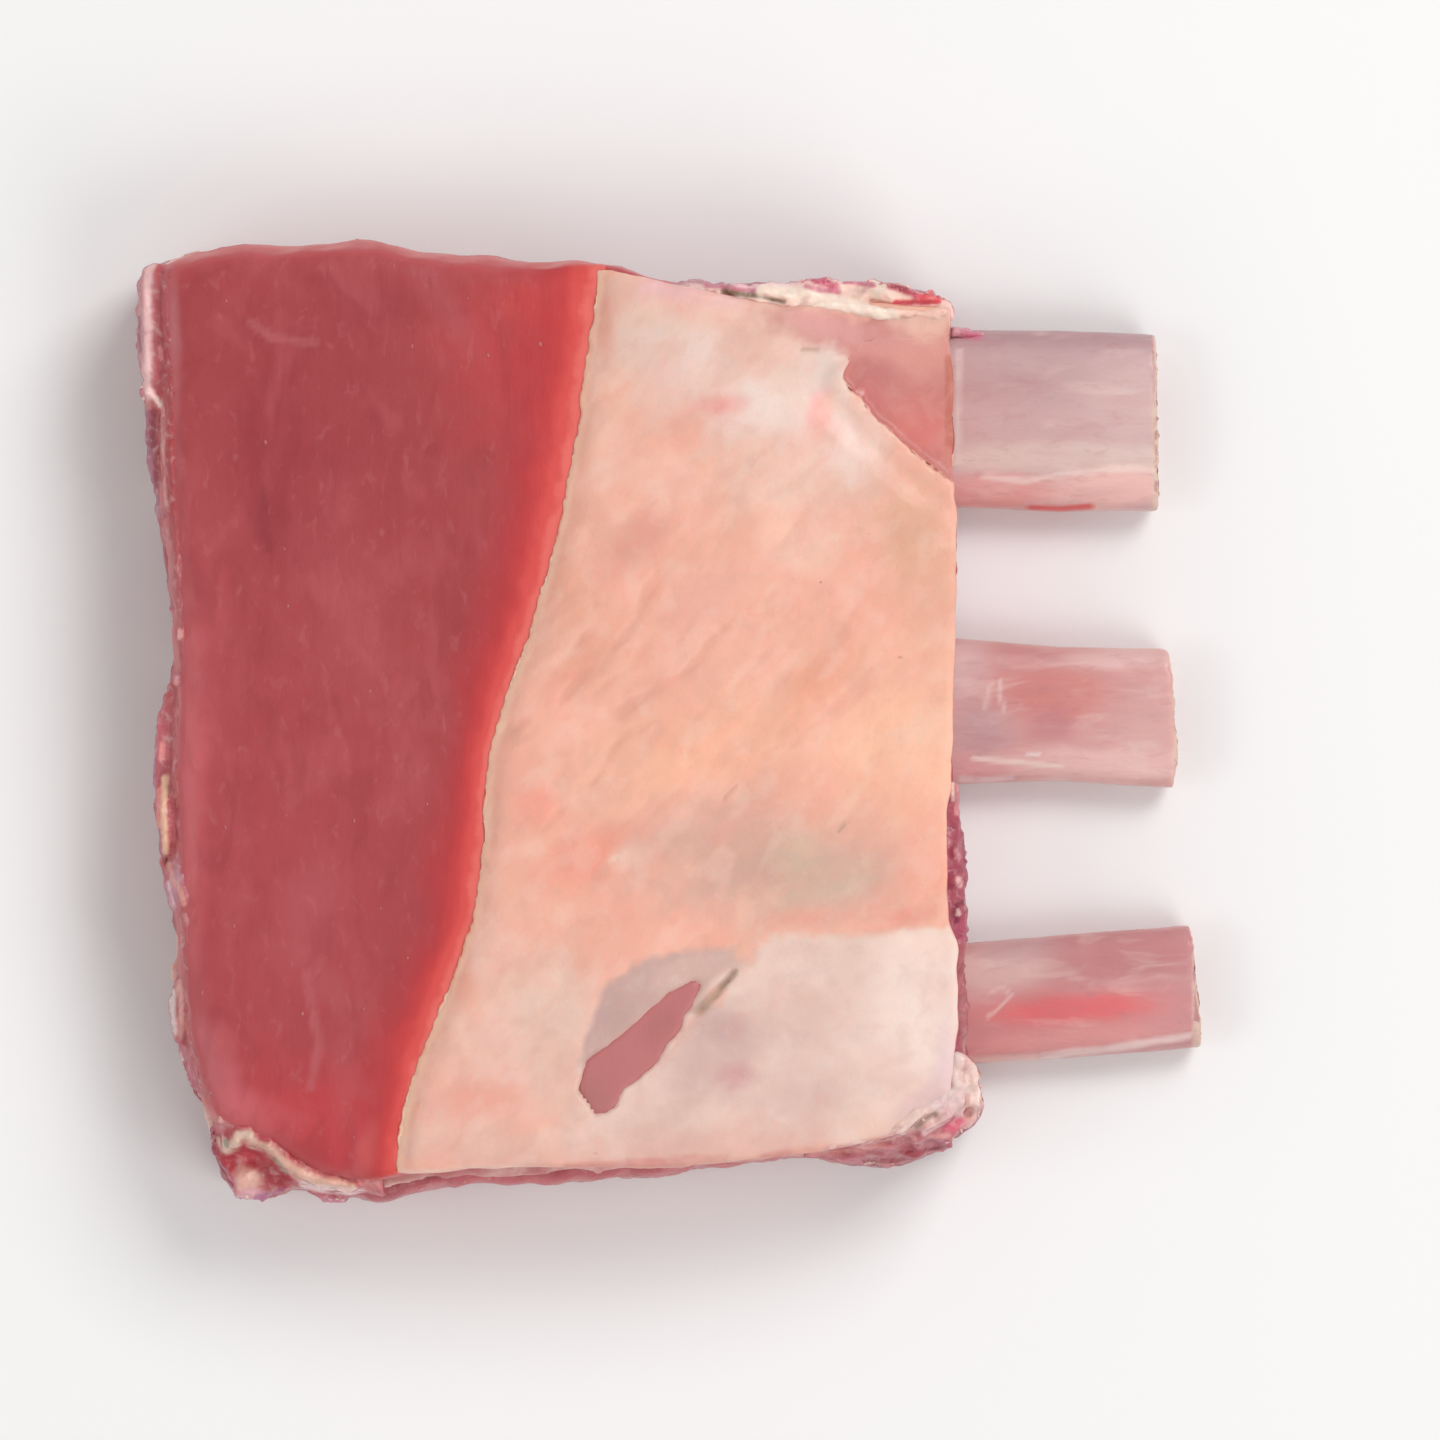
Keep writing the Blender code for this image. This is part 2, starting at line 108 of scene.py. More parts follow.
# %% Colour and node helpers
def hex_colour(text):
    """An sRGB hex colour as linear red, green, blue and alpha."""
    parts = np.array([int(text[at:at + 2], 16) for at in (1, 3, 5)]) / 255
    linear = np.where(parts <= 0.04045, parts / 12.92, ((parts + 0.055) / 1.055) ** 2.4)
    return (*linear.tolist(), 1.0)


def add(tree, kind, inputs=None, **settings):
    """A new node. inputs maps a socket's name or number to a value or to another node's output."""
    node = tree.nodes.new(kind)
    for name, value in settings.items():
        setattr(node, name, value)
    for socket, value in (inputs or {}).items():
        if isinstance(value, bpy.types.NodeSocket):
            tree.links.new(value, node.inputs[socket])
        else:
            node.inputs[socket].default_value = value
    return node


# %% Floor and lights
def matte_paper(name, colour):
    """Matte paper: no gloss at all, so the floor stays a quiet, even ground."""
    made = bpy.data.materials.new(name)
    made.use_nodes = True
    shader = made.node_tree.nodes["Principled BSDF"]
    shader.inputs["Base Color"].default_value = hex_colour(colour)
    shader.inputs["Roughness"].default_value = 0.95
    shader.inputs["Specular IOR Level"].default_value = 0.1
    return made


# The floor, the lights and the camera's reach are the only lengths given in metres
FLOOR_REACH = 8.0
floor_mesh = bpy.data.meshes.new("floor")
floor_mesh.from_pydata([(x * FLOOR_REACH, y * FLOOR_REACH, 0) for x, y in
                        ((-1, -1), (1, -1), (1, 1), (-1, 1))], [], [(0, 1, 2, 3)])
floor_mesh.materials.append(matte_paper("matte_paper", "#f6f5f4"))
floor = bpy.data.objects.new("floor", floor_mesh)
scene.collection.objects.link(floor)
floor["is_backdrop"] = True


def soft_light(name, place, size, share):
    """A square light aimed at the slab. share is how much of the full light it gives there. An area
    light thins out with the square of its distance, so its energy makes up for that."""
    data = bpy.data.lights.new(name, "AREA")
    distance = math.dist(place, (0, 0, 0))
    cosine = place[2] / distance
    data.size = size
    data.energy = share * math.pi ** 2 * distance ** 2 / cosine
    light = bpy.data.objects.new(name, data)
    light.location = place
    light.rotation_mode = "QUATERNION"
    light.rotation_quaternion = (-light.location).to_track_quat("-Z", "Y")
    light.visible_camera = False
    scene.collection.objects.link(light)


soft_light("key_light", place=(1.3, 1.5, 2.1), size=1.3, share=0.34)
soft_light("fill_light", place=(1.5, -1.4, 1.9), size=1.6, share=0.20)
soft_light("rim_light", place=(-2.0, -0.4, 1.7), size=1.4, share=0.12)

# The rest of the light comes evenly from all around
SHARE_ALL_AROUND = 0.42
world = bpy.data.worlds.new("studio")
world.use_nodes = True
all_around = world.node_tree.nodes["Background"].inputs
all_around["Color"].default_value = hex_colour("#fbfbfc")
all_around["Strength"].default_value = SHARE_ALL_AROUND
scene.world = world


# %% [markdown]
# ## How meat and fat get their surface
#
# Meat has no flat facets and no sharp corners, but it does keep the crisp rims that a knife leaves.
# A surface like that could be sculpted by hand, or made from a subdivided cage. Here each plain
# solid is rebuilt as even small quads (a voxel remesh), which round off under a few rounds of
# smoothing. After that, smooth noise moves the points by tenths of a millimetre.

# %% Reading and moving points
def places_of(piece):
    """The points of a piece in millimetres, as rows of x, y and z."""
    flat = np.empty(len(piece.data.vertices) * 3)
    piece.data.vertices.foreach_get("co", flat)
    return flat.reshape(-1, 3) / MM


def normals_of(piece):
    """The directions in which a piece's surface faces, one row for each point."""
    flat = np.empty(len(piece.data.vertices) * 3)
    piece.data.vertices.foreach_get("normal", flat)
    return flat.reshape(-1, 3)


def move_to(piece, places):
    """Puts a piece's points at these places in millimetres."""
    piece.data.vertices.foreach_set("co", (places * MM).ravel())
    piece.data.update()


def store(piece, name, values):
    """Writes one number for each point, for the materials to read."""
    piece.data.attributes.new(name, "FLOAT", "POINT").data.foreach_set("value", values)


def turned(places, degrees):
    """The places seen from a frame that is turned about the upright axis."""
    angle = math.radians(degrees)
    along = places[:, 0] * math.cos(angle) + places[:, 1] * math.sin(angle)
    aside = places[:, 1] * math.cos(angle) - places[:, 0] * math.sin(angle)
    return np.column_stack([along, aside, places[:, 2]])


def wander(places, size, shift=0.0):
    """Smooth noise between about -1 and 1, whose lumps have the given size: one, or one an axis."""
    return np.array([noise.noise(spot) for spot in (places / size + shift).tolist()])


def smooth_step(values, start, full):
    """0 up to start, 1 from full on, and an even slope between. start may be above full."""
    share = np.clip((values - start) / (full - start), 0, 1)
    return share * share * (3 - 2 * share)


# Surfaces are sought by rays that start well clear of the slab
WELL_CLEAR = 100.0 * MM
UP = Vector((0, 0, 1))


def height_over(*pieces):
    """A function that gives how high these pieces reach at a spot, or None beside all of them."""
    graph = bpy.context.evaluated_depsgraph_get()
    trees = [BVHTree.FromObject(piece, graph) for piece in pieces]

    def height(x, y):
        hits = [tree.ray_cast(Vector((x * MM, y * MM, WELL_CLEAR)), -UP)[0] for tree in trees]
        return max((hit.z / MM for hit in hits if hit), default=None)
    return height


# %% Making and finishing meshes
def applied(piece):
    """Turns what a piece's modifiers make into its plain mesh."""
    graph = bpy.context.evaluated_depsgraph_get()
    made = bpy.data.meshes.new_from_object(piece.evaluated_get(graph))
    made.name = piece.name
    piece.modifiers.clear()
    piece.data = made
    return piece


def new_piece(name, mesh):
    """Puts a mesh into the scene as a piece of its own."""
    piece = bpy.data.objects.new(name, mesh)
    scene.collection.objects.link(piece)
    return piece


def fine_skin(piece, voxel, rounds):
    """Rebuilds a piece as even quads of one size and rounds them off. Parts that overlap fuse."""
    remesh = piece.modifiers.new("even_quads", "REMESH")
    remesh.mode = "VOXEL"
    remesh.voxel_size = voxel * MM
    smooth = piece.modifiers.new("round_off", "SMOOTH")
    smooth.factor = 0.5
    smooth.iterations = rounds
    applied(piece)
    piece.data.shade_smooth()
    return piece


def faced_outwards(mesh):
    """Turns all faces of a closed mesh outwards."""
    work = bmesh.new()
    work.from_mesh(mesh)
    bmesh.ops.recalc_face_normals(work, faces=work.faces)
    work.to_mesh(mesh)
    work.free()
    return mesh


def closed_mesh(name, points, faces):
    """A mesh of points in millimetres whose faces all point outwards."""
    mesh = bpy.data.meshes.new(name)
    mesh.from_pydata([tuple(point * MM) for point in points], [], faces)
    return faced_outwards(mesh)


SAME_SPOT = 0.005


def fine_copy(node, name, voxel, rounds, filler=None):
    """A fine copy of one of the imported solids, fused with a filler mesh if there is one."""
    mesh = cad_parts[node].data.copy()
    work = bmesh.new()
    work.from_mesh(mesh)
    bmesh.ops.remove_doubles(work, verts=work.verts, dist=SAME_SPOT * MM)
    if filler:
        work.from_mesh(filler)
    work.to_mesh(mesh)
    work.free()
    mesh.materials.clear()
    return fine_skin(new_piece(name, mesh), voxel, rounds)


def settle(piece, depth):
    """Lets the underside sink onto the layer below, because grown tissue leaves no gap. A depth
    below 0 lifts it."""
    places = places_of(piece)
    places[:, 2] -= depth * smooth_step(-normals_of(piece)[:, 2], 0.2, 0.7)
    move_to(piece, places)


def weather(piece, waves):
    """Moves a piece's points along their normals by noise, wave after wave of a size and a height."""
    places = places_of(piece)
    shift = sum(height * wander(places, size, 3.0 * number)
                for number, (size, height) in enumerate(waves))
    move_to(piece, places + normals_of(piece) * shift[:, None])


def hand_over(piece, finish, node=None):
    """Gives a finished piece its material, hangs it under the root body and hides the imported solid it
    covers.
    """
    piece.data.materials.clear()
    piece.data.materials.append(finish)
    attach(piece, "root")
    if node:
        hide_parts(node)
    piece.data.calc_loop_triangles()
    print(f"{piece.name}: {len(piece.data.loop_triangles)} triangles")


# %% [markdown]
# Some zones have a place that no rule gives, such as a bruise in the fat. They are laid out as soft
# ellipses or as an outline, and noise breaks up their borders. An ellipse has a centre, a half length
# and a half width, a turn in degrees, the softness of its border and a strength.

# %% Zones laid out one by one
def share_in(places, jitter, x, y, length, width, turn, soft, strength):
    """How strongly each point lies in one ellipse."""
    around = turned(places - (x, y, 0), turn)
    reach = np.hypot(around[:, 0] / length, around[:, 1] / width) + jitter
    return strength * smooth_step(reach, 1 + soft, 1 - soft)


def soft_patches(places, patches, ragged=0.22):
    """How strongly each point lies in any of the ellipses."""
    jitter = ragged * (wander(places, 7.0, 5.0) + 0.5 * wander(places, 2.5, 8.0))
    return np.max([share_in(places, jitter, *patch) for patch in patches], axis=0)


def distance_to(places, line):
    """How far each point lies from a line of points, seen from above."""
    spots = places[:, :2]
    nearest = np.full(len(spots), 1e9)
    line = np.array(line)
    for start, end in zip(line, line[1:]):
        run = end - start
        share = np.clip((spots - start) @ run / (run @ run), 0, 1)
        nearest = np.minimum(nearest, np.linalg.norm(spots - start - share[:, None] * run, axis=1))
    return nearest


# A stroke fades out between these shares of its half width
STROKE_BORDER = (1.25, 0.35)


def paint(piece, name, ground, patches, strokes=(), ragged=0.3, lump=7.0, grain=0.0):
    """Gives each point a colour: the ground, and over it the ellipses' colours and then the strokes'.
    A stroke has a colour, a strength, a half width and the line it follows. The borders wander in
    lumps that are longer in the direction of the grain."""
    places = places_of(piece)
    laid = turned(places, grain)
    jitter = ragged * (wander(laid, (1.9 * lump, lump, lump), 5.0)
                       + 0.6 * wander(laid, (0.7 * lump, 0.35 * lump, 0.35 * lump), 8.0))
    layers = [(colour, share_in(places, jitter, *patch)) for colour, *patch in patches]
    for colour, strength, width, line in strokes:
        reach = distance_to(places, line) / width + jitter
        layers.append((colour, strength * smooth_step(reach, *STROKE_BORDER)))
    tint = np.tile(np.array(hex_colour(ground)), (len(places), 1))
    for colour, share in layers:
        tint += share[:, None] * (np.array(hex_colour(colour)) - tint)
    piece.data.attributes.new(name, "FLOAT_COLOR", "POINT").data.foreach_set("color", tint.ravel())
    print(f"{piece.name}: {name} has {len(patches)} soft zones and {len(strokes)} strokes")


def depth_in(places, outline):
    """How far inside an outline each point lies, seen from above, and below 0 outside it."""
    x, y = places[:, 0], places[:, 1]
    closed = outline + outline[:1]
    inside = np.zeros(len(places), bool)
    for (x1, y1), (x2, y2) in zip(closed, closed[1:]):
        if y1 != y2:
            inside ^= ((y1 > y) != (y2 > y)) & (x < x1 + (y - y1) * (x2 - x1) / (y2 - y1))
    return distance_to(places, closed) * np.where(inside, 1, -1)


# %% [markdown]
# ## How the tissues get their colour
#
# Raw tissue isn't one flat colour. Light enters it and comes back out a few millimetres away, a
# thin wet film makes soft highlights, and the tone drifts from place to place. Painted images could
# show that, but these materials are nodes only: the points carry a colour and a few numbers, and
# noise in object space adds the fine mottling.

# %% Patterns for the tissues
ROUND = (1, 1, 1)


def cloud(tree, place, size, stretch=ROUND, turn=0.0, shift=0.0, detail=3.0, swirl=0.0):
    """Soft noise whose lumps have the given size in millimetres, times the stretch on each axis,
    turned about the upright axis."""
    laid = add(tree, "ShaderNodeMapping",
               {"Vector": place, "Scale": [size * MM * more for more in stretch],
                "Rotation": (0, 0, math.radians(turn)), "Location": (shift * size * MM,) * 3},
               vector_type="TEXTURE")
    return add(tree, "ShaderNodeTexNoise", {"Vector": laid.outputs[0], "Scale": 1.0, "Detail": detail,
                                            "Distortion": swirl}).outputs["Fac"]


def ranged(tree, value, start, full, high=1.0):
    """0 where value is at start, high from full on. start may be above full."""
    return add(tree, "ShaderNodeMapRange", {"Value": value, "From Min": start, "From Max": full,
                                            "To Min": 0.0, "To Max": high},
               interpolation_type="SMOOTHSTEP").outputs["Result"]


def calculated(tree, operation, *values):
    """One sum or product of two or three values."""
    return add(tree, "ShaderNodeMath", dict(enumerate(values)), operation=operation).outputs[0]


def blotches(tree, place, size, start, full, stretch=ROUND, turn=0.0, shift=0.0, swirl=0.6):
    """Soft patches where the noise is high."""
    return ranged(tree, cloud(tree, place, size, stretch, turn, shift, 5.0, swirl), start, full)


def pinpricks(tree, place, spacing, radius, stretch=ROUND, shift=0.0):
    """Tiny dots, one in each cell of a loose net."""
    laid = add(tree, "ShaderNodeMapping",
               {"Vector": place, "Scale": [spacing * MM * more for more in stretch],
                "Location": (shift * MM,) * 3}, vector_type="TEXTURE")
    cells = add(tree, "ShaderNodeTexVoronoi", {"Vector": laid.outputs[0], "Scale": 1.0})
    return ranged(tree, cells.outputs["Distance"], radius / spacing, 0.3 * radius / spacing)


# %% One material for each tissue
def mask(tree, place, name, start, full, rough=0.0, size=5.0, high=1.0):
    """Where a stored number lies between two values, its border broken up by noise."""
    value = add(tree, "ShaderNodeAttribute", attribute_name=name).outputs["Fac"]
    if rough:
        jitter = calculated(tree, "SUBTRACT", cloud(tree, place, size, shift=3.0), 0.5)
        value = calculated(tree, "MULTIPLY_ADD", jitter, 2 * rough, value)
    return ranged(tree, value, start, full, high)


# Red light travels furthest inside flesh, green and blue light only a third of that or less
TRAVEL_OF_RED_GREEN_BLUE = (1.0, 0.35, 0.22)
MOIST_SHINE = 0.38
FILM_ROUGHNESS = 0.22
WET_SPOT = 6.0


def tissue(name, ground, zones, relief, gloss, glow, film=0.0):
    """A raw tissue. A colour is sRGB hex, or the name of a colour that the points carry. Each zone
    lays a colour over the ground where its mask and its pattern say, as strongly as it says.
    relief lists fine bumps: size, stretch, turn and depth. gloss is the roughness where the surface
    is wettest and driest. glow is the share of light that travels inside, and how far. film is the
    share of a thin layer of moisture on top."""
    made = bpy.data.materials.new(name)
    made.use_nodes = True
    tree = made.node_tree
    shader = tree.nodes["Principled BSDF"]
    place = add(tree, "ShaderNodeTexCoord").outputs["Object"]

    def paint_of(text):
        if text.startswith("#"):
            return hex_colour(text)
        return add(tree, "ShaderNodeAttribute", attribute_name=text).outputs["Color"]

    colour = paint_of(ground)
    for over, strength, where, pattern in zones:
        share = mask(tree, place, *where, high=strength) if where else strength
        if pattern:
            kind, *facts = pattern
            share = calculated(tree, "MULTIPLY", share, kind(tree, place, *facts))
        colour = add(tree, "ShaderNodeMix", {0: share, 6: colour, 7: paint_of(over)},
                     data_type="RGBA").outputs[2]
    tree.links.new(colour, shader.inputs["Base Color"])
    normal = None
    for size, stretch, turn, depth in relief:
        bump = add(tree, "ShaderNodeBump", {"Height": cloud(tree, place, size, stretch, turn),
                                            "Strength": 1.0, "Distance": depth * MM})
        if normal:
            tree.links.new(normal, bump.inputs["Normal"])
        normal = bump.outputs["Normal"]
    tree.links.new(normal, shader.inputs["Normal"])
    wetness = add(tree, "ShaderNodeMapRange", {"Value": cloud(tree, place, WET_SPOT, shift=9.0),
                                               "From Min": 0.35, "From Max": 0.65,
                                               "To Min": gloss[0], "To Max": gloss[1]})
    tree.links.new(wetness.outputs["Result"], shader.inputs["Roughness"])
    share, depth = glow
    shader.inputs["Subsurface Weight"].default_value = share
    shader.inputs["Subsurface Radius"].default_value = TRAVEL_OF_RED_GREEN_BLUE
    shader.inputs["Subsurface Scale"].default_value = depth * MM
    shader.inputs["Specular IOR Level"].default_value = MOIST_SHINE
    shader.inputs["Coat Weight"].default_value = film
    shader.inputs["Coat Roughness"].default_value = FILM_ROUGHNESS
    return made


# %% [markdown]
# ## The rib bones
#
# A rib is a flat, slightly bent plank of bone with round edges. Its form follows a rule: one section
# swept along a line, wider or narrower on the way. So Geometry Nodes make it. The tree starts from
# a cylinder and moves each point to its place on the section, which has named inputs for its sizes.

# %% The sizes of the ribs
# For each bone: the line of its middle at the sawn end, where it leaves the meat and at its clean
# end; its widths there and halfway along the clean part; how thick it is; and how far the clean
# end's cut runs askew and bulges
CLEAN_FROM = 65.6
BONES = {
    "rib_bone_wide": dict(line=[(-119.3, 67.8), (CLEAN_FROM, 70.1), (112.6, 69.1)],
                          widths=(39.0, 41.2, 42.0, 41.0), thickness=14.5, skew=0.3, dome=0.2),
    "rib_bone_middle": dict(line=[(-115.3, 1.3), (CLEAN_FROM, 2.4), (117.5, 0.7)],
                            widths=(32.5, 34.0, 31.0, 32.4), thickness=13.5, skew=0.7, dome=1.9),
    "rib_bone_narrow": dict(line=[(-112.4, -69.7), (CLEAN_FROM, -65.6), (121.8, -61.4)],
                            widths=(28.5, 28.0, 28.6, 28.3), thickness=12.5, skew=1.3, dome=0.2),
}
for node, spec in BONES.items():
    print(node, "is", round(spec["line"][2][0] - spec["line"][0][0], 1), "mm long")

# %% A node tree that shapes one rib
# How much the round section is squared off (2 would be an ellipse), and a width no rib reaches
SQUARENESS = 2.9
WIDEST = 50.0
SIZES = ("Start", "End", "Thickness", "Bend", "Slope", "Level", "Skew", "Dome")


def rib_tree(name, spec):
    """A tree that turns nothing but its inputs into one closed rib."""
    tree = bpy.data.node_groups.new(name, "GeometryNodeTree")
    for socket in SIZES:
        tree.interface.new_socket(socket, in_out="INPUT", socket_type="NodeSocketFloat")
    tree.interface.new_socket("Geometry", in_out="OUTPUT", socket_type="NodeSocketGeometry")
    given = add(tree, "NodeGroupInput").outputs

    def squared_off(value):
        """Pushes a round section towards a plank's."""
        pushed = calculated(tree, "POWER", calculated(tree, "ABSOLUTE", value), 2 / SQUARENESS)
        return calculated(tree, "MULTIPLY", calculated(tree, "SIGN", value), pushed)

    tube = add(tree, "GeometryNodeMeshCylinder", {"Vertices": 48, "Side Segments": 80,
                                                  "Radius": 1.0, "Depth": 1.0})
    spot = add(tree, "GeometryNodeInputPosition").outputs[0]
    at = add(tree, "ShaderNodeSeparateXYZ", {0: spot}).outputs
    # run goes from 0 at the sawn end to 1 at the clean one, side and lift from -1 to 1 across it
    run = calculated(tree, "ADD", at["Z"], 0.5)
    side, lift = squared_off(at["X"]), squared_off(at["Y"])
    width = add(tree, "ShaderNodeFloatCurve", {"Value": run})
    curve = width.mapping.curves[0]
    start, leaves, end = [point[0] for point in spec["line"]]
    stations = [0.0, (leaves - start) / (end - start), ((leaves + end) / 2 - start) / (end - start), 1.0]
    for station in stations[1:3]:
        curve.points.new(station, 0.5)
    for point, station, full in zip(curve.points, stations, spec["widths"]):
        point.location = (station, full / WIDEST)
        point.handle_type = "VECTOR"
    width.mapping.update()
    half = calculated(tree, "MULTIPLY", width.outputs[0], WIDEST * MM / 2)
    x = calculated(tree, "MULTIPLY_ADD", run,
                   calculated(tree, "SUBTRACT", given["End"], given["Start"]), given["Start"])
    slope = calculated(tree, "MULTIPLY_ADD", x, given["Bend"], given["Slope"])
    y = calculated(tree, "MULTIPLY_ADD", x, slope, given["Level"])
    # the last fifth of the rib takes up the form of the cut
    near_end = add(tree, "ShaderNodeMapRange", {"Value": run, "From Min": 0.8, "From Max": 1.0}).outputs[0]
    drawn_back = calculated(tree, "MULTIPLY_ADD", calculated(tree, "MULTIPLY", side, side), given["Dome"],
                            calculated(tree, "MULTIPLY", side, given["Skew"]))
    x = calculated(tree, "SUBTRACT", x, calculated(tree, "MULTIPLY", near_end, drawn_back))
    y = calculated(tree, "MULTIPLY_ADD", side, half, y)
    z = calculated(tree, "MULTIPLY", calculated(tree, "ADD", lift, 1.0),
                   calculated(tree, "MULTIPLY", given["Thickness"], 0.5))
    placed = add(tree, "GeometryNodeSetPosition",
                 {"Geometry": tube.outputs["Mesh"],
                  "Position": add(tree, "ShaderNodeCombineXYZ", {0: x, 1: y, 2: z}).outputs[0]})
    real = add(tree, "GeometryNodeRealizeInstances", {0: placed.outputs[0]})
    painted = add(tree, "GeometryNodeSetMaterial", {"Geometry": real.outputs[0]})
    add(tree, "NodeGroupOutput", {0: painted.outputs[0]})
    return tree


# %% The three ribs
def run_tree(name, tree, values, mesh=None):
    """Runs a tree, with its inputs set by their identifiers, and keeps the result as a plain mesh."""
    piece = bpy.data.objects.new(name, mesh or bpy.data.meshes.new(name))
    modifier = piece.modifiers.new(name, "NODES")
    modifier.node_group = tree
    for socket in tree.interface.items_tree:
        if socket.in_out == "INPUT" and socket.name in values:
            modifier[socket.identifier] = values[socket.name]
    scene.collection.objects.link(piece)
    return applied(piece)


def rib(node):
    """One rib bone, swept by its tree and closed to a fine skin."""
    spec = BONES[node]
    line = np.array(spec["line"]) * MM
    bend, slope, level = np.polyfit(line[:, 0], line[:, 1], 2)
    sizes = (line[0, 0], line[2, 0], spec["thickness"] * MM, bend, slope, level, spec["skew"] * MM,
             spec["dome"] * MM)
    piece = run_tree(node + "_fresh", rib_tree(node + "_sweep", spec), dict(zip(SIZES, sizes)))
    faced_outwards(piece.data)
    return fine_skin(piece, voxel=0.9, rounds=3)


ribs = {node: rib(node) for node in BONES}
for node, piece in ribs.items():
    low, high = places_of(piece).min(axis=0), places_of(piece).max(axis=0)
    print(node, "size", np.round(high - low, 1), "mm")

# %% [markdown]
# A fresh rib isn't white. A thin moist skin, the periosteum, is left on it after the meat has been
# scraped off, and it looks grey-lilac where it is whole, whitish where it was scraped and pink or
# red where blood shines through. The cut ends show a pale wall round a dark red, spongy middle.

# %% Colours of the bones
BONE_TINTS = {
    # lilac skin at the top, a cream stripe and a pink edge below it
    "rib_bone_wide": ("#d7b3b1", [
        ("#b69195", 92, 90.0, 34, 5.5, -1, 0.6, 0.9), ("#cba8a8", 84, 81, 26, 6, 0, 0.8, 0.8),
        ("#e2c2bd", 106, 74, 8, 8, 0, 0.9, 0.6), ("#e4cac2", 90, 61.0, 36, 3.4, 0, 0.5, 0.95),
        # the pale pink at x 102 near the lower rounded edge is the bone's pink, painted lighter to make up
        # for the shade on that edge
        ("#e8a6a0", 75, 53.0, 17, 4.2, 0, 0.4, 0.95), ("#f2c3ba", 102, 53.8, 14, 4.8, 4, 0.4, 0.95),
        ("#a8607a", 112.4, 82, 1.1, 8.5, 0, 0.4, 0.8), ("#dcc4a6", 112.6, 61, 1.1, 12.5, 0, 0.4, 0.8)],
        [("#f6ddd4", 0.7, 0.8, [(72, 56.6), (82, 55.6), (91, 57.2), (104, 58.6), (112, 58.4)]),
         ("#e05f5c", 0.9, 0.9, [(83, 49.6), (90, 49.2), (97, 49.8)]),
         ("#b8647a", 0.8, 0.8, [(74, 91.4), (90, 91.6), (110, 90.4)]),
         ("#d57f96", 0.9, 1.3, [(65.5, 90.4), (71, 89.2)]),
         ("#ead2cb", 0.8, 0.8, [(66.6, 86), (66.4, 74), (66.4, 60)])]),
    # lilac where the film is whole, salmon in the middle where it was rubbed
    "rib_bone_middle": ("#dda6a1", [
        ("#dfbfbd", 69, 11, 5.6, 8, 0, 0.6, 0.95), ("#cba7a9", 71, -2.0, 7.5, 6.0, 0, 0.6, 0.9),
        ("#cf9492", 83, 13.5, 11, 4.0, -4, 0.6, 0.8), ("#d98e88", 90, 6.0, 16, 6.0, -8, 0.6, 0.9),
        ("#cc888c", 88, -0.6, 5, 3.2, 0, 0.7, 0.6), ("#e6bebb", 104, 14.8, 12, 2.4, 2, 0.6, 0.9),
        ("#deb0ab", 108, 0.5, 9, 7, 0, 0.8, 0.7), ("#f0c6c0", 98, -10.4, 20, 4.6, 0, 0.5, 0.9),
        ("#e0a6a8", 71, -11.0, 6, 2.8, -8, 0.5, 0.9), ("#a8485c", 117.2, 14, 1.0, 4, 0, 0.4, 0.8),
        ("#e2c6a9", 117.4, -4, 0.9, 9, 0, 0.4, 0.8)],
        [("#f6dfd8", 0.75, 0.7, [(70, -8.6), (80, -9.4), (90, -10.4)]),
         ("#eed4d0", 0.6, 0.7, [(74, 8.8), (73, 5.6), (72.6, 3.0)]),
         ("#f0dcd8", 0.6, 0.6, [(76.2, 9.4), (75.8, 6.4), (77.0, 2.8)]),
         # painted highlights: a short white glint below the middle, and a white line along the lower rim
         ("#f6e2df", 0.9, 0.5, [(82.4, -7.4), (85.0, -7.8)]),
         ("#f0d3d2", 0.9, 0.8, [(67, -13.4), (73, -13.6), (79, -13.0)])]),
    # a long red streak under the film, a pale lower edge, and a painted white highlight along that edge
    "rib_bone_narrow": ("#d09696", [
        ("#e0bbb5", 75, -57.5, 12, 6.5, 8, 0.7, 0.95), ("#cda9a9", 80, -53.0, 9, 3.2, 6, 0.6, 0.7),
        ("#c78386", 106, -54.5, 17, 5.5, 5, 0.7, 0.85), ("#de8a87", 92, -67.0, 25, 5.4, 4, 0.6, 0.85),
        ("#ea7276", 92, -66.6, 16, 2.8, 4, 0.6, 1.0), ("#e29a96", 90, -74.0, 26, 2.6, 5, 0.5, 0.9),
        ("#cf8a8a", 69, -71.5, 4.5, 4.0, 0, 0.7, 0.7), ("#b9405c", 121.2, -49, 1.2, 2.4, 0, 0.5, 0.8),
        ("#d9b0ac", 121.6, -64, 0.8, 9, 0, 0.5, 0.7)],
        # painted highlight: the white line along the lower edge
        [("#f0d6d0", 0.8, 1.1, [(86, -77.6), (100, -76.0), (112, -74.2), (120, -73.0)]),
         ("#ecc4bb", 0.95, 1.7, [(66, -79.4), (74, -79.0), (84, -78.2)]),
         ("#e9c5bf", 0.8, 0.5, [(73.4, -63.0), (76.6, -61.4), (78.6, -63.6), (76.2, -66.0), (73.0, -68.6)])]),
}
print("soft zones on the bones:", sum(len(patches) for ground, patches, strokes in BONE_TINTS.values()))

# %% Bone ends and relief
# The pale wall round the marrow, as a share of the way from the rim to the middle
BONE_WALL = (0.10, 0.22)
SPONGE_DEPTH = 0.9
SAWN_RAGGED = 0.35


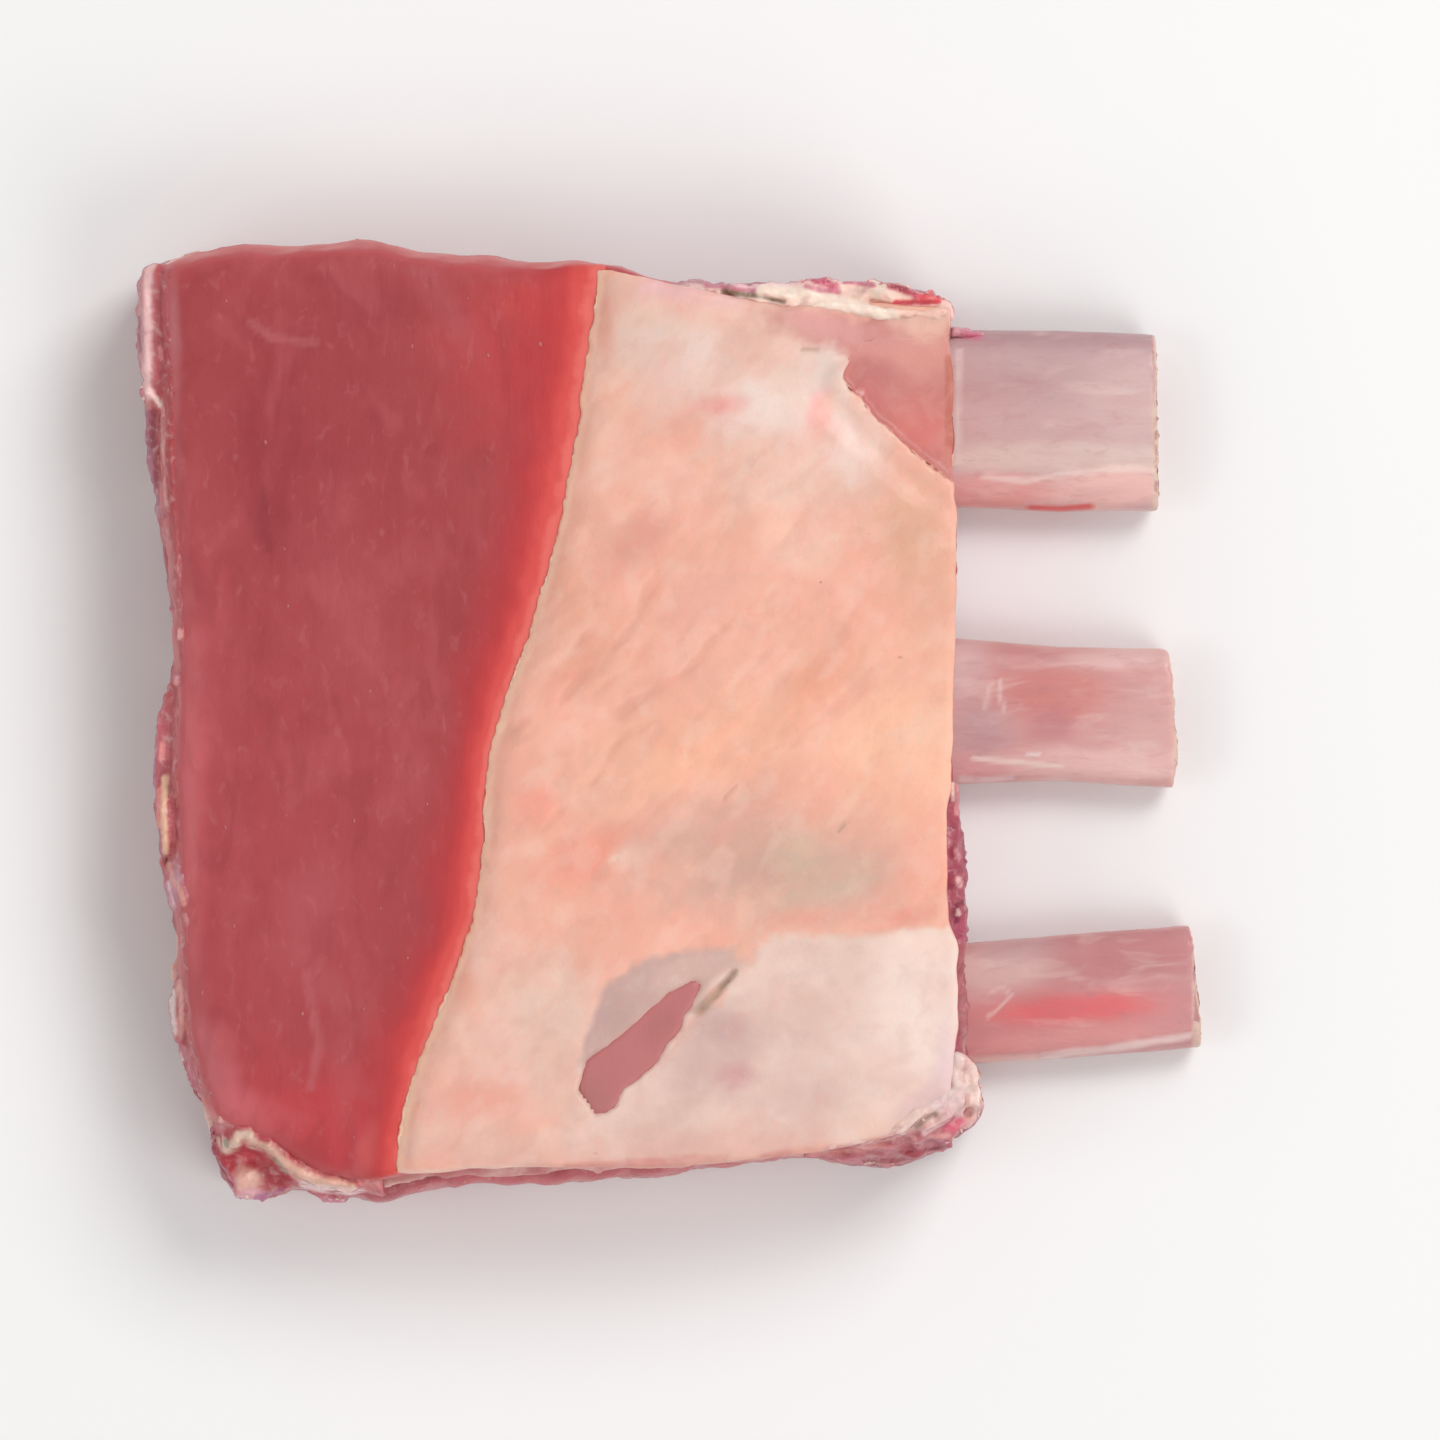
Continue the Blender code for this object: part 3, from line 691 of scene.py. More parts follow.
def shape_bone(node, piece):
    """Colours one bone, marks its sawn ends and gives it the relief of skin, saw and sponge."""
    spec = BONES[node]
    places = places_of(piece)
    line = np.array(spec["line"])
    clean_end = line[2, 0]
    stations = (line[0, 0], CLEAN_FROM, (CLEAN_FROM + clean_end) / 2, clean_end)
    middle = np.polyval(np.polyfit(line[:, 0], line[:, 1], 2), places[:, 0])
    side = (places[:, 1] - middle) / np.interp(places[:, 0], stations, np.array(spec["widths"]) / 2)
    lift = places[:, 2] / spec["thickness"] * 2 - 1
    from_wall = 1 - (np.abs(side) ** SQUARENESS + np.abs(lift) ** SQUARENESS) ** (1 / SQUARENESS)
    on_end = smooth_step(np.abs(normals_of(piece)[:, 0]), 0.55, 0.85)
    marrow = smooth_step(from_wall, *BONE_WALL) * on_end
    paint(piece, "tint", *BONE_TINTS[node], ragged=0.22, lump=4.0)
    store(piece, "marrow", marrow)
    store(piece, "on_end", on_end)
    store(piece, "from_end", clean_end - places[:, 0])
    sponge = np.maximum(wander(places, 2.1, 2.0), wander(places, 1.3, 6.0)) * marrow
    skin = 0.20 * wander(places, (16, 6, 5)) + 0.09 * wander(places, (7, 1.8, 1.8), 4.0)
    near_end = smooth_step(places[:, 0], clean_end - 2.5, clean_end - 0.5)
    sawn = SAWN_RAGGED * near_end * wander(places, 1.5, 9.0)
    move_to(piece, places + normals_of(piece) * (skin + sawn - SPONGE_DEPTH * sponge)[:, None])
    print(node, "has", np.count_nonzero(marrow > 0.5), "points of marrow")


for node, piece in ribs.items():
    shape_bone(node, piece)

# %% Bone finish
# Fresh bone under its moist skin: soft zones of pink and lilac, and a faint wet shine
periosteum = tissue(
    "fresh_bone_under_periosteum", "tint",
    [("#c58b8c", 0.22, None, (blotches, 7.0, 0.46, 0.68, (3.2, 1, 1), 3)),
     ("#f0d6ce", 0.28, None, (blotches, 4.5, 0.52, 0.72, (3.5, 1, 1), 3, 4.0)),
     ("#b8787e", 0.20, None, (blotches, 1.9, 0.54, 0.74, (3.0, 1, 1), 3, 8.0)),
     ("#dfc3b2", 0.7, ("from_end", 1.6, 0.5, 0.7, 2.5), None),
     ("#a0505c", 0.6, ("from_end", 1.3, 0.4, 0.5, 3), (blotches, 6.0, 0.52, 0.60)),
     ("#dcb7a5", 1.0, ("on_end", 0.3, 0.8), None),
     ("#8f3535", 1.0, ("marrow", 0.3, 0.8, 0.2, 3), None),
     ("#c4776a", 0.7, ("marrow", 0.3, 0.8), (blotches, 1.6, 0.50, 0.60))],
    relief=[(3.0, (3, 1, 1), 3, 0.25), (0.9, (2, 1, 1), 0, 0.08)],
    gloss=(0.30, 0.44), glow=(0.20, 1.4), film=0.15)
for node, piece in ribs.items():
    hand_over(piece, periosteum, node)

# %% [markdown]
# ## The rib meat
#
# The meat between and over the ribs was sawn at one end, and pulled clean off the bones at the
# other. Where it shows, it is moist red and purple, with pale film and fat left on it here and
# there. A fine copy of its solid keeps the sockets that the bones lie in.

# %% Rib meat
rib_meat = fine_copy("rib_meat", "rib_meat_skin", voxel=1.3, rounds=5)
normals = normals_of(rib_meat)
# the bones carry the slab, so the meat's underside stays a hair above them
settle(rib_meat, depth=-0.1)
weather(rib_meat, ((9.0, 0.5), (3.2, 0.40), ((2.0, 2.0, 5.0), 0.15)))
store(rib_meat, "wall", 1 - np.abs(normals[:, 2]))
store(rib_meat, "under", -normals[:, 2])
paint(rib_meat, "tint", "#ad4a52", [
    # the pale pink along the bottom edge is partly film and partly painted light, made lighter to make up for
    # the shade on the rounded edge
    ("#cc7074", -50, -109, 30, 8, 0, 0.4, 0.95), ("#cd7c7e", 12, -106, 40, 7, 4, 0.4, 0.9),
    ("#c87880", -84, -110, 18, 5, 0, 0.5, 0.8), ("#b86a70", -122, 60, 6, 34, 0, 0.5, 0.9),
    ("#c26465", -118, -20, 7, 25, 0, 0.5, 0.9), ("#c59a98", -115, -66, 6, 12, 0, 0.5, 0.9),
    ("#b76f7d", 16, 102, 40, 6, 0, 0.5, 0.9), ("#98344a", 56, -101, 18, 7, 15, 0.4, 0.9),
    ("#a8495c", 68, -55, 5, 30, 0, 0.4, 0.9), ("#a83f4c", -105, -100, 8, 12, 0, 0.5, 0.9),
    ("#a8405a", 50, 101, 20, 6, 0, 0.4, 0.9)])

# Raw meat torn along its grain: uneven and wet, with patches of film and fat
torn_meat = tissue(
    "torn_rib_meat", "tint",
    [("#8f2f3b", 0.35, None, (blotches, 5.0, 0.50, 0.68, (1.5, 1.5, 0.9), 0, 2.0)),
     ("#d7a39b", 0.40, ("wall", 0.2, 0.7), (blotches, 12.0, 0.54, 0.68, (1.6, 1.6, 0.7), 0, 6.0)),
     ("#d99f98", 0.7, ("under", 0.3, 0.8), (blotches, 14.0, 0.44, 0.62)),
     ("#e0a8a0", 0.30, None, (blotches, 2.6, 0.58, 0.72, ROUND, 0, 4.0))],
    relief=[(2.2, ROUND, 0, 0.5), (0.8, ROUND, 0, 0.15)], gloss=(0.26, 0.44), glow=(0.18, 1.8), film=0.15)
hand_over(rib_meat, torn_meat, "rib_meat")

# %% [markdown]
# ## The seam of fat
#
# Between two muscles lies a sheet of fat and silverskin a few millimetres thick. Only its rim shows:
# as a pale strip at the upper left corner, and as a thin line around the sides.

# %% Seam of fat
seam = fine_copy("seam_fat", "seam_fat_sheet", voxel=1.1, rounds=3)
settle(seam, depth=0.35)
weather(seam, (((16, 16, 8), 0.8), (5.0, 0.45), (2.2, 0.22)))
# Waxy fat with films of silverskin, stained pink by the meat on both sides
seam_tissue = tissue(
    "seam_fat_and_silverskin", "#dfaaa2",
    [("#edcabd", 0.8, None, (blotches, 6.0, 0.45, 0.65)),
     ("#c0666c", 0.7, None, (blotches, 11.0, 0.50, 0.66, (2, 2, 0.8), 0, 3.0)),
     ("#cf8a8a", 0.5, None, (blotches, 3.0, 0.52, 0.70, ROUND, 0, 5.0))],
    relief=[(1.6, ROUND, 0, 0.3), (0.7, ROUND, 0, 0.08)], gloss=(0.30, 0.42), glow=(0.30, 2.0), film=0.1)
hand_over(seam, seam_tissue, "seam_fat")

# %% [markdown]
# ## A fat cap without its gap
#
# The knife went through the fat in one place and left a gap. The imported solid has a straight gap
# there, and its real outline is irregular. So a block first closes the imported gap. The muscle can
# then swell up to the fat's own level, and the real gap is pressed into the fat after that.

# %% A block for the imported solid's gap
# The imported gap's two ends, its widths at even steps between them, and how far the block goes past
# its sides and, as a share of its length, past its ends
PACKED_GAP = ((-19.4, -88.8), (18.1, -51.0))
PACKED_GAP_WIDTHS = (5.5, 10.8, 11.4, 10.4, 7.8, 4.2, 2.2, 1.2)
HALF_OF_A_WIDTH = 0.55
GAP_MARGIN = 1.6
PAST_THE_ENDS = 0.05


def block_faces(rows, columns):
    """The faces of a closed block whose upper points come row by row, and then its lower ones."""
    count = rows * columns
    at = np.arange(count).reshape(rows, columns)
    quads = np.stack([at[:-1, :-1], at[:-1, 1:], at[1:, 1:], at[1:, :-1]], axis=-1).reshape(-1, 4)
    faces = []
    for quad in quads.tolist():
        faces += [quad, [corner + count for corner in quad[::-1]]]
    rim = [*at[0], *at[1:, -1], *at[-1, -2::-1], *at[-2:0:-1, 0]]
    faces += [[int(a), int(b), int(b) + count, int(a) + count] for a, b in zip(rim, rim[1:] + rim[:1])]
    return faces


def gap_block(rows=34, columns=9):
    """A closed block with the gap's outline, level with the fat on both of its sides."""
    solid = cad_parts["fat_cap"]
    tree = BVHTree.FromObject(solid, bpy.context.evaluated_depsgraph_get())
    start, end = np.array(PACKED_GAP)
    run = end - start
    aside = np.array([-run[1], run[0]]) / np.linalg.norm(run)
    stations = np.linspace(0, 1, len(PACKED_GAP_WIDTHS))
    top, bottom = [], []
    for share in np.linspace(-PAST_THE_ENDS, 1 + PAST_THE_ENDS, rows):
        half = np.interp(share, stations, PACKED_GAP_WIDTHS) * HALF_OF_A_WIDTH + GAP_MARGIN
        sides = [start + share * run + way * half * aside for way in (-1, 1)]
        upper, lower = [[tree.ray_cast(Vector((*(side * MM), way * WELL_CLEAR)), -way * UP)[0].z / MM
                         for side in sides] for way in (1, -1)]
        for way in np.linspace(0, 1, columns):
            spot = sides[0] + way * (sides[1] - sides[0])
            top.append((*spot, upper[0] + way * (upper[1] - upper[0])))
            bottom.append((*spot, lower[0] + way * (lower[1] - lower[0])))
    return closed_mesh("gap_block", np.array(top + bottom), block_faces(rows, columns))


fat = fine_copy("fat_cap", "fat_cap_skin", voxel=0.85, rounds=3, filler=gap_block())
uncut_height = height_over(fat)
print("fat over the gap", round(uncut_height(-8, -75), 1), "mm up")

# %% [markdown]
# ## The top muscle
#
# The lean is a smooth cut surface, deep red and almost matte, with a faint grain. Towards the fat it
# turns bright red, because that part was covered until the fat was trimmed back. Its rim is painted
# paler: a painted highlight where the light grazes a thin film. In the gap of the fat cap the muscle
# swells up almost level with the fat, because nothing holds it down there.

# %% Outlines seen from above
# The free edge of the fat cap, from the top of the slab down to the bottom
FAT_EDGE = [(-17.2, 104.3), (-19.3, 87.8), (-21.8, 69.4), (-25.2, 49.8), (-29.2, 33.7), (-33.8, 18.8),
            (-38.4, 6.1), (-42.5, -8.8), (-44.1, -29.5), (-45.7, -44.5), (-49.2, -54.8),
            (-55.1, -69.8), (-60.7, -83.6), (-63.3, -96.2), (-64.0, -104.5)]
# The gap where the knife went through the fat, and the slit beyond it
GAP = [(-17.6, -90.3), (-21.3, -84.7), (-19.5, -78.0), (-12.5, -72.8), (-5.8, -66.6), (-0.6, -62.2),
       (5.2, -59.5), (6.8, -60.6), (4.5, -66.1), (3.1, -67.0), (2.3, -70.6), (-0.6, -74.3),
       (-2.9, -78.4), (-8.0, -82.5), (-11.0, -84.7), (-12.5, -88.4), (-14.7, -89.8)]
SLIT = [(5.2, -65.2), (6.4, -67.2), (9.9, -64.2), (13.6, -60.0), (15.2, -56.6), (11.0, -59.8)]
print("outlines of", len(FAT_EDGE), len(GAP), "and", len(SLIT), "points")

# %% Top muscle
# How far the muscle stays below the fat in the gap, and how far outside the gap it starts to rise
GAP_STEP = 0.85
SWELL_REACH = 2.0
# The bright band along the fat: its width, how far it is followed under the fat, and the value that
# stands for no band at all
BAND_WIDTH = 4.4
BAND_UNDER_FAT = 2.5
NO_BAND = 9.0
WALL_INSET = 1.5

lean = fine_copy("top_muscle", "top_muscle_skin", voxel=1.05, rounds=8)
steep = 1 - normals_of(lean)[:, 2]
settle(lean, depth=0.35)
places = places_of(lean)
edge = np.array(FAT_EDGE)[::-1]
covered = places[:, 0] > np.interp(places[:, 1], edge[:, 1], edge[:, 0])
from_fat = distance_to(places, FAT_EDGE) * np.where(covered, -1, 1)
open_depth = depth_in(places, GAP)
for at in np.flatnonzero((open_depth > -SWELL_REACH) & (steep < 0.5)):
    level = uncut_height(*places[at, :2]) - GAP_STEP
    places[at, 2] += smooth_step(open_depth[at], -SWELL_REACH, 0.3) * (level - places[at, 2])
# where the fat lies on it, the muscle's side stays a little behind the fat's
places[:, 0] -= WALL_INSET * smooth_step(places[:, 0], 58, 64) * smooth_step(steep, 0.3, 0.8)
places[:, 1] += WALL_INSET * smooth_step(places[:, 1], -92, -98) * smooth_step(places[:, 0], -60, -50)
move_to(lean, places)
weather(lean, ((12.0, 0.28), ((2.4, 9.0, 4.0), 0.10), ((3.0, 3.0, 1.5), 0.08)))
store(lean, "steep", steep)
band_width = BAND_WIDTH + 1.6 * wander(places, 17.0, 1.0) + 1.2 * smooth_step(places[:, 1], 20, 90)
band_width -= 1.3 * smooth_step(places[:, 1], -60, -95)
fading = 0.35 * smooth_step(places[:, 1], -62, -96) + 0.22 * wander(places, (3.0, 8.0, 6.0), 2.0)
store(lean, "band", np.where(from_fat < -BAND_UNDER_FAT, NO_BAND, from_fat / band_width + fading))
store(lean, "open", open_depth)
print("the bright band is", np.round(band_width.min(), 1), "to", np.round(band_width.max(), 1), "mm wide")

# %% Colours of the lean
paint(lean, "tint", "#ab4246", [
    ("#a33d42", -88, 66, 30, 28, 0, 0.8, 0.9), ("#b0464c", -86, -40, 24, 44, 0, 0.8, 0.8),
    ("#c03f45", -80, -94, 26, 12, -22, 0.7, 0.9), ("#be4142", -34, 86, 17, 22, 0, 0.8, 0.9),
    ("#d44f4b", -24, 97, 9, 8, 0, 0.7, 0.8), ("#b64f54", -108, 20, 7, 46, -2, 0.7, 0.6),
    # the two pale pink ellipses below lie along the left rim: a painted highlight on its rounded shoulder
    ("#ca6065", -112.0, -18, 4.5, 34, 0, 0.6, 0.9), ("#c67a7d", -116.0, 88, 2.6, 18, 0, 0.6, 0.8),
    ("#b3555b", -52, 96, 3.5, 11, 32, 0.8, 0.5), ("#ba5a5f", -84, -44, 6, 12, -18, 0.8, 0.5),
    ("#9c363c", -96, 62, 2.6, 10, 4, 0.8, 0.7), ("#99353b", -92, 47, 3.0, 8, 8, 0.8, 0.6),
    ("#b5565a", -74, 24, 10, 20, 10, 0.9, 0.35), ("#c2646a", -104, -82, 5, 14, 22, 0.7, 0.8),
    ("#97383d", -70, 97, 12, 4, -16, 0.8, 0.5), ("#b65a5d", -78, -62, 7, 3, -55, 0.8, 0.4),
    ("#cf646a", -98, -92, 9, 6, -20, 0.8, 0.7), ("#db7672", -68, -101, 3.2, 9, -8, 0.8, 0.6),
    ("#c07574", -6.5, -75.5, 26, 11, 47, 0.15, 1.0), ("#b26d69", -3, -70, 4, 2.6, 47, 0.8, 0.7),
    ("#b47470", -18.5, -86.5, 4.0, 5.0, 40, 0.8, 0.7)],
    [("#bd6468", 0.5, 1.3, [(-84, -58), (-81, -74), (-83, -84)]),
     ("#c16c6e", 0.45, 1.0, [(-97, 92), (-92, 88), (-82, 87)]),
     ("#8f3036", 0.5, 1.2, [(-93.4, 54), (-93.8, 46), (-92.6, 40)])],
    ragged=0.35, lump=9.0)

# %% Finish of the lean
# A knife-cut face of lean beef: near matte, with soft clouds of tone and a fine upright grain
cut_lean = tissue(
    "cut_lean_beef", "tint",
    [("#c46266", 0.24, None, (blotches, 13.0, 0.48, 0.70, (0.8, 1.5, 1), 0, 3.0, 0.9)),
     ("#8f3036", 0.26, None, (blotches, 9.0, 0.48, 0.70, (0.8, 1.8, 1), 0, 7.0, 0.9)),
     ("#c87476", 0.22, None, (blotches, 3.4, 0.56, 0.74, (0.8, 1.5, 1), 0, 5.0)),
     ("#c67879", 0.25, None, (pinpricks, 12.0, 1.0, (1, 1.3, 1))),
     # painted highlight: the gently sloping shoulder of the rim is painted lighter
     ("#c55b5f", 0.6, ("steep", 0.02, 0.25), None),
     ("#bb3539", 0.85, ("band", 3.6, 1.1, 0.35, 9), None),
     ("#cf4240", 0.75, ("band", 1.9, 0.9, 0.35, 6), None),
     ("#dd524e", 0.90, ("band", 1.2, 0.5, 0.30, 5), None),
     ("#ee7a70", 0.6, ("band", 0.50, 0.05, 0.25, 3), None),
     ("tint", 1.0, ("open", -2.0, -1.0), None),
     # painted highlight: the rounded rim is painted pale pink where the light grazes it
     ("#cf7876", 0.8, ("steep", 0.35, 0.7, 0.1, 4), None),
     ("#a33b45", 0.7, ("steep", 0.75, 0.95), (blotches, 10.0, 0.44, 0.62, (2.0, 2.0, 0.8), 0, 2.0)),
     ("#d99a94", 0.4, ("steep", 0.5, 0.85), (blotches, 6.0, 0.52, 0.68, (2.2, 2.2, 0.8), 0, 8.0))],
    relief=[(1.2, (1, 5, 1), 0, 0.08), (0.6, (1, 2.5, 1), 0, 0.05)],
    gloss=(0.42, 0.56), glow=(0.15, 1.4), film=0.06)
hand_over(lean, cut_lean, "top_muscle")
lean_height = height_over(lean)

# %% [markdown]
# ## The fat cap
#
# The fat on top is firm and waxy: peach in the middle, paler at the top and the lower right, where
# its outer layer was peeled away, with bruises and with dents along the fibres below. One corner is
# trimmed down to a pink film. All of this could be built from separate sheets, but it is one piece
# of fat. So its surface is lowered zone by zone: a soft slope into the trimmed corner, a thin step
# at the peeled layer, shallow dents, and the gap down to just below the swollen muscle. Towards its
# free edge the fat thins out over a few millimetres, as a knife leaves it.

# %% Outlines on the fat
# The trimmed corner and the side of it that ends in a step, and the layer that was peeled away
CORNER_PATCH = [(44.1, 87.4), (40.8, 83.6), (39.2, 78.8), (43.4, 74.0), (47.3, 69.2), (50.5, 66.8),
                (54.9, 62.5), (59.5, 59.0), (64.1, 55.1), (71.6, 51.3), (71.6, 88.0), (59.6, 88.6)]
PATCH_CRISP_SIDE = [(39.6, 78.5), (47.3, 68.7), (56.3, 60.4), (68.0, 52.5)]
PEELED = [(-34.0, -96.0), (-22.5, -84.0), (-19.9, -74.4), (-15.5, -61.1), (-5.8, -54.4), (5.2, -52.6),
          (15.5, -51.9), (19.7, -49.3), (29.6, -48.4), (41.1, -49.8), (52.6, -48.0), (66.4, -46.8),
          (75.0, -46.0), (75.0, -120.0), (-40.0, -120.0)]
settle(fat, depth=0.4)
places = places_of(fat)
normals = normals_of(fat)
upward = smooth_step(normals[:, 2], 0.3, 0.8)
from_edge = distance_to(places, FAT_EDGE)
ragged = 0.6 * wander(places, 4.0, 2.0) + 0.6 * wander(places, 1.7, 4.0)
peeled = depth_in(places, PEELED) + 0.7 * ragged
patch = depth_in(places, CORNER_PATCH) + ragged
opened = depth_in(places, GAP) + 0.35 * ragged
slit = depth_in(places, SLIT) + 0.3 * ragged
print("the gap takes", np.count_nonzero(opened > 0), "points of the fat")

# %% The peeled layer, the slit and the dents
PEEL_STEP = 0.35
SLIT_DEPTH = 0.8
DENT_DEPTH = 0.55
DENT_TURN = 48.0
peel_share = soft_patches(places, [(48, -74, 44, 27, 0, 0.35, 1.0), (-4, -63, 25, 10, 44, 0.4, 1.0),
                                   (4, -87, 23, 12, 24, 0.9, 1.0)])
dents = smooth_step(wander(turned(places, DENT_TURN), (12.0, 3.4, 6.0), 7.0), 0.0, 0.6)
dented = soft_patches(places, [(-16, 2, 36, 26, 55, 0.9, 1.0), (26, 12, 40, 34, 20, 0.9, 0.6)])
places[:, 2] -= upward * (PEEL_STEP * peel_share * smooth_step(peeled, -1.2, 1.2)
                          + SLIT_DEPTH * smooth_step(slit, -0.5, 0.6) + DENT_DEPTH * dented * dents)
print("the outer layer is peeled off", np.count_nonzero(peeled > 0), "points")

# %% The trimmed corner
# A step on its crisp side, a long slope on the others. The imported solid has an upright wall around
# the corner, and the points of that wall move only above the level where it starts.
PATCH_LEVEL = 41.6
FULL_LEVEL = 44.9
WALL_START = (40.4, 40.9)
crisp = smooth_step(distance_to(places, PATCH_CRISP_SIDE), 6.0, 2.0)
trimmed = crisp * smooth_step(patch, -0.3, 0.9) + (1 - crisp) * smooth_step(patch, -9.0, 3.0)
level = FULL_LEVEL - (FULL_LEVEL - PATCH_LEVEL) * trimmed
packed_wall = (np.abs(depth_in(places, CORNER_PATCH)) < 1.6) & (places[:, 0] < 64.5)
movable = np.where(packed_wall, smooth_step(places[:, 2], *WALL_START), upward)
places[:, 2] += smooth_step(patch, -10, -7) * movable * (level - places[:, 2])
print("the corner is trimmed to", PATCH_LEVEL, "mm")

# %% The fat's sides and edges
# How far the side draws back above the red shreds, how deep the gap's wall goes past the muscle's
# surface, over which width the free edge thins out, and how far it wanders there
DRAWN_BACK = 1.1
PAST_THE_LEAN = 0.5
THINNING = 7.0
SKIN_AT_EDGE = -0.05
EDGE_WANDER = 0.45
by_the_shreds = smooth_step(np.abs(places[:, 1] + 33), 18, 12)
places[:, 0] -= DRAWN_BACK * smooth_step(places[:, 0], 61.5, 65.5) * by_the_shreds
for at in np.flatnonzero((opened > -0.6) & (normals[:, 2] > 0)):
    low = lean_height(*places[at, :2]) - PAST_THE_LEAN
    places[at, 2] += smooth_step(opened[at], -0.45, 0.45) * (low - places[at, 2])
for at in np.flatnonzero((from_edge < THINNING) & (normals[:, 2] > -0.5)):
    low = (lean_height(*places[at, :2]) or places[at, 2]) + SKIN_AT_EDGE
    thickness = 1 - (1 - from_edge[at] / THINNING) ** 2
    places[at, 2] = low + max(places[at, 2] - low, 0.0) * thickness
places[:, 0] -= EDGE_WANDER * smooth_step(from_edge, 2.2, 0.6) * wander(places, 1.9, 6.0)
move_to(fat, places)
weather(fat, ((14.0, 0.42), (5.5, 0.22), (2.3, 0.09)))
side_wall = (1 - normals[:, 2]) * smooth_step(from_edge, 2.5, 5.0) * smooth_step(patch, -0.8, -2.0)
for name, values in {"peeled": peeled, "peel_share": peel_share, "patch": patch, "opened": opened,
                     "dent": dented * dents, "steep": side_wall, "from_edge": from_edge}.items():
    store(fat, name, values)
print("the fat thins out over", THINNING, "mm")

# %% Colours of the fat
paint(fat, "tint", "#f4b6a0", [
    # the upper part is pale and greyish, with pink bruises
    ("#eac6b6", 0, 86, 30, 22, -8, 0.5, 1.0), ("#e4c6b8", 4, 84, 14, 7, -10, 0.8, 0.9),
    ("#f0bcbd", 4, 98.8, 13, 4.4, -12, 0.6, 0.9), ("#e7a894", -16.5, 93, 3.0, 12, 6, 0.6, 0.9),
    ("#efd3c7", 24, 75, 27, 15, -14, 0.6, 1.0), ("#f4dfd4", 21, 73, 9, 6, 0, 0.8, 0.9),
    ("#e3cabe", 33, 82, 9, 6, 0, 0.8, 0.8), ("#eed0c6", 29, 86, 4, 2.4, 0, 0.8, 0.7),
    ("#e99b97", 9.5, 72.3, 6.4, 2.2, 14, 0.8, 0.9), ("#f7a6a0", 34.2, 70.2, 2.4, 4.2, -10, 0.9, 0.9),
    ("#efb9a6", 7, 93, 12, 2.6, -14, 0.8, 0.5), ("#f3bda7", -15, 67, 9, 11, 0, 0.8, 0.9),
    ("#f3cbbb", 26, 56, 26, 8, 0, 0.7, 0.9), ("#f0d6ca", 44, 60, 8, 6, -40, 0.8, 0.8),
    # peach and tan in the middle
    ("#e3a392", -7, 42, 9, 4.5, 35, 0.8, 0.9), ("#e8a991", -24, 30, 4, 12, 14, 0.8, 0.8),
    ("#eaac96", 17, 42, 8, 4, 30, 0.8, 0.8), ("#f8cab7", 31, 42, 9, 6, 0, 0.8, 0.9),
    ("#e3af94", 55, 44, 8, 15, 10, 0.8, 0.9), ("#e8af97", 60, 24, 5, 11, 0, 0.8, 0.8),
    ("#edb3a2", 8, 28, 13, 5, 40, 0.8, 0.8), ("#eaa38c", -18, 14, 11, 4, 46, 0.8, 0.8),
    ("#fdbaa4", -26, 0, 8, 6, 40, 0.8, 0.9), ("#fcbc9f", 8, -6, 24, 9, 20, 0.9, 0.9),
    ("#eda588", 34, 10, 9, 4, 35, 0.8, 0.8), ("#fec4a7", 52, -8, 15, 20, 0, 0.9, 1.0),
    ("#ecb29d", -16, -17, 9, 3.5, 40, 0.8, 0.8), ("#f29a86", -18, -31, 12, 5, 30, 0.8, 0.8),
    ("#fba794", -30, -20, 6, 5, 0, 0.8, 0.8), ("#f3cdbb", -10, -31, 4, 2.5, 20, 0.8, 0.8),
    # a bruise of grey-green
    ("#dcae9e", 24, -33, 29, 13, -6, 0.7, 1.0), ("#cfa597", 25, -34, 12, 6, 10, 0.8, 0.9),
    ("#cfb5a0", 29.5, -31.5, 5, 6.0, 0, 0.9, 0.9), ("#d6b29e", 41, -36, 8, 5, 0, 0.8, 0.8),
    ("#d3b7a4", 31, -41, 9, 3, 10, 0.8, 0.7), ("#e9a594", 30, -45, 8, 1.6, 4, 0.8, 0.8),
    ("#f9b49e", 60, -34, 6, 11, 0, 0.8, 0.9), ("#ee9f8f", 55, -44.5, 6, 1.6, 8, 0.7, 0.8),
    # the lower left is pale pink
    ("#f2c5b6", -35, -72, 18, 22, 20, 0.8, 1.0), ("#ebc9b9", -27, -66, 8, 13, 10, 0.8, 0.9),
    ("#efaa93", -48, -60, 3, 9, 20, 0.7, 0.8), ("#efac99", -43, -87, 8, 4.5, 0, 0.7, 0.9),
    ("#f2bfae", -50, -96, 8, 6, 0, 0.7, 0.9), ("#e3baac", -25, -83, 5, 12, 8, 0.8, 0.9),
    ("#ebbdaf", -34, -98, 22, 4, 0, 0.7, 0.8), ("#e4c0b1", 2, -88, 17, 7, 32, 0.8, 1.0),
    ("#e4b8ab", 12, -97, 40, 4.5, 4, 0.7, 0.9)],
    # painted highlight: the pale line along the fat's lower rim
    [("#f6cdbe", 0.9, 1.0, [(-65, -104), (-55, -103.6), (-43, -102.6), (-26, -103.2)]),
     ("#dc978d", 0.85, 1.2, [(-24, -102.4), (-8.6, -101.8), (12, -100.4)]),
     # painted shade: the olive-brown line in the shallow slit
     ("#a98a76", 0.9, 1.2, [(6.4, -66.2), (10.4, -62.4), (14.6, -57.6)]),
     ("#a08a74", 0.7, 0.7, [(30.4, 85.3), (33.4, 85.3)]),
     ("#a07a68", 0.6, 0.4, [(38.5, -25), (40.0, -23.4)]),
     # painted highlight: the short pale stroke at x -14 to -11
     ("#f5d2c3", 0.6, 0.8, [(-14, -31.8), (-11, -30.6)]), ("#c98272", 0.6, 0.5, [(12, -18), (15, -15)])],
    ragged=0.42, lump=8.0, grain=DENT_TURN)

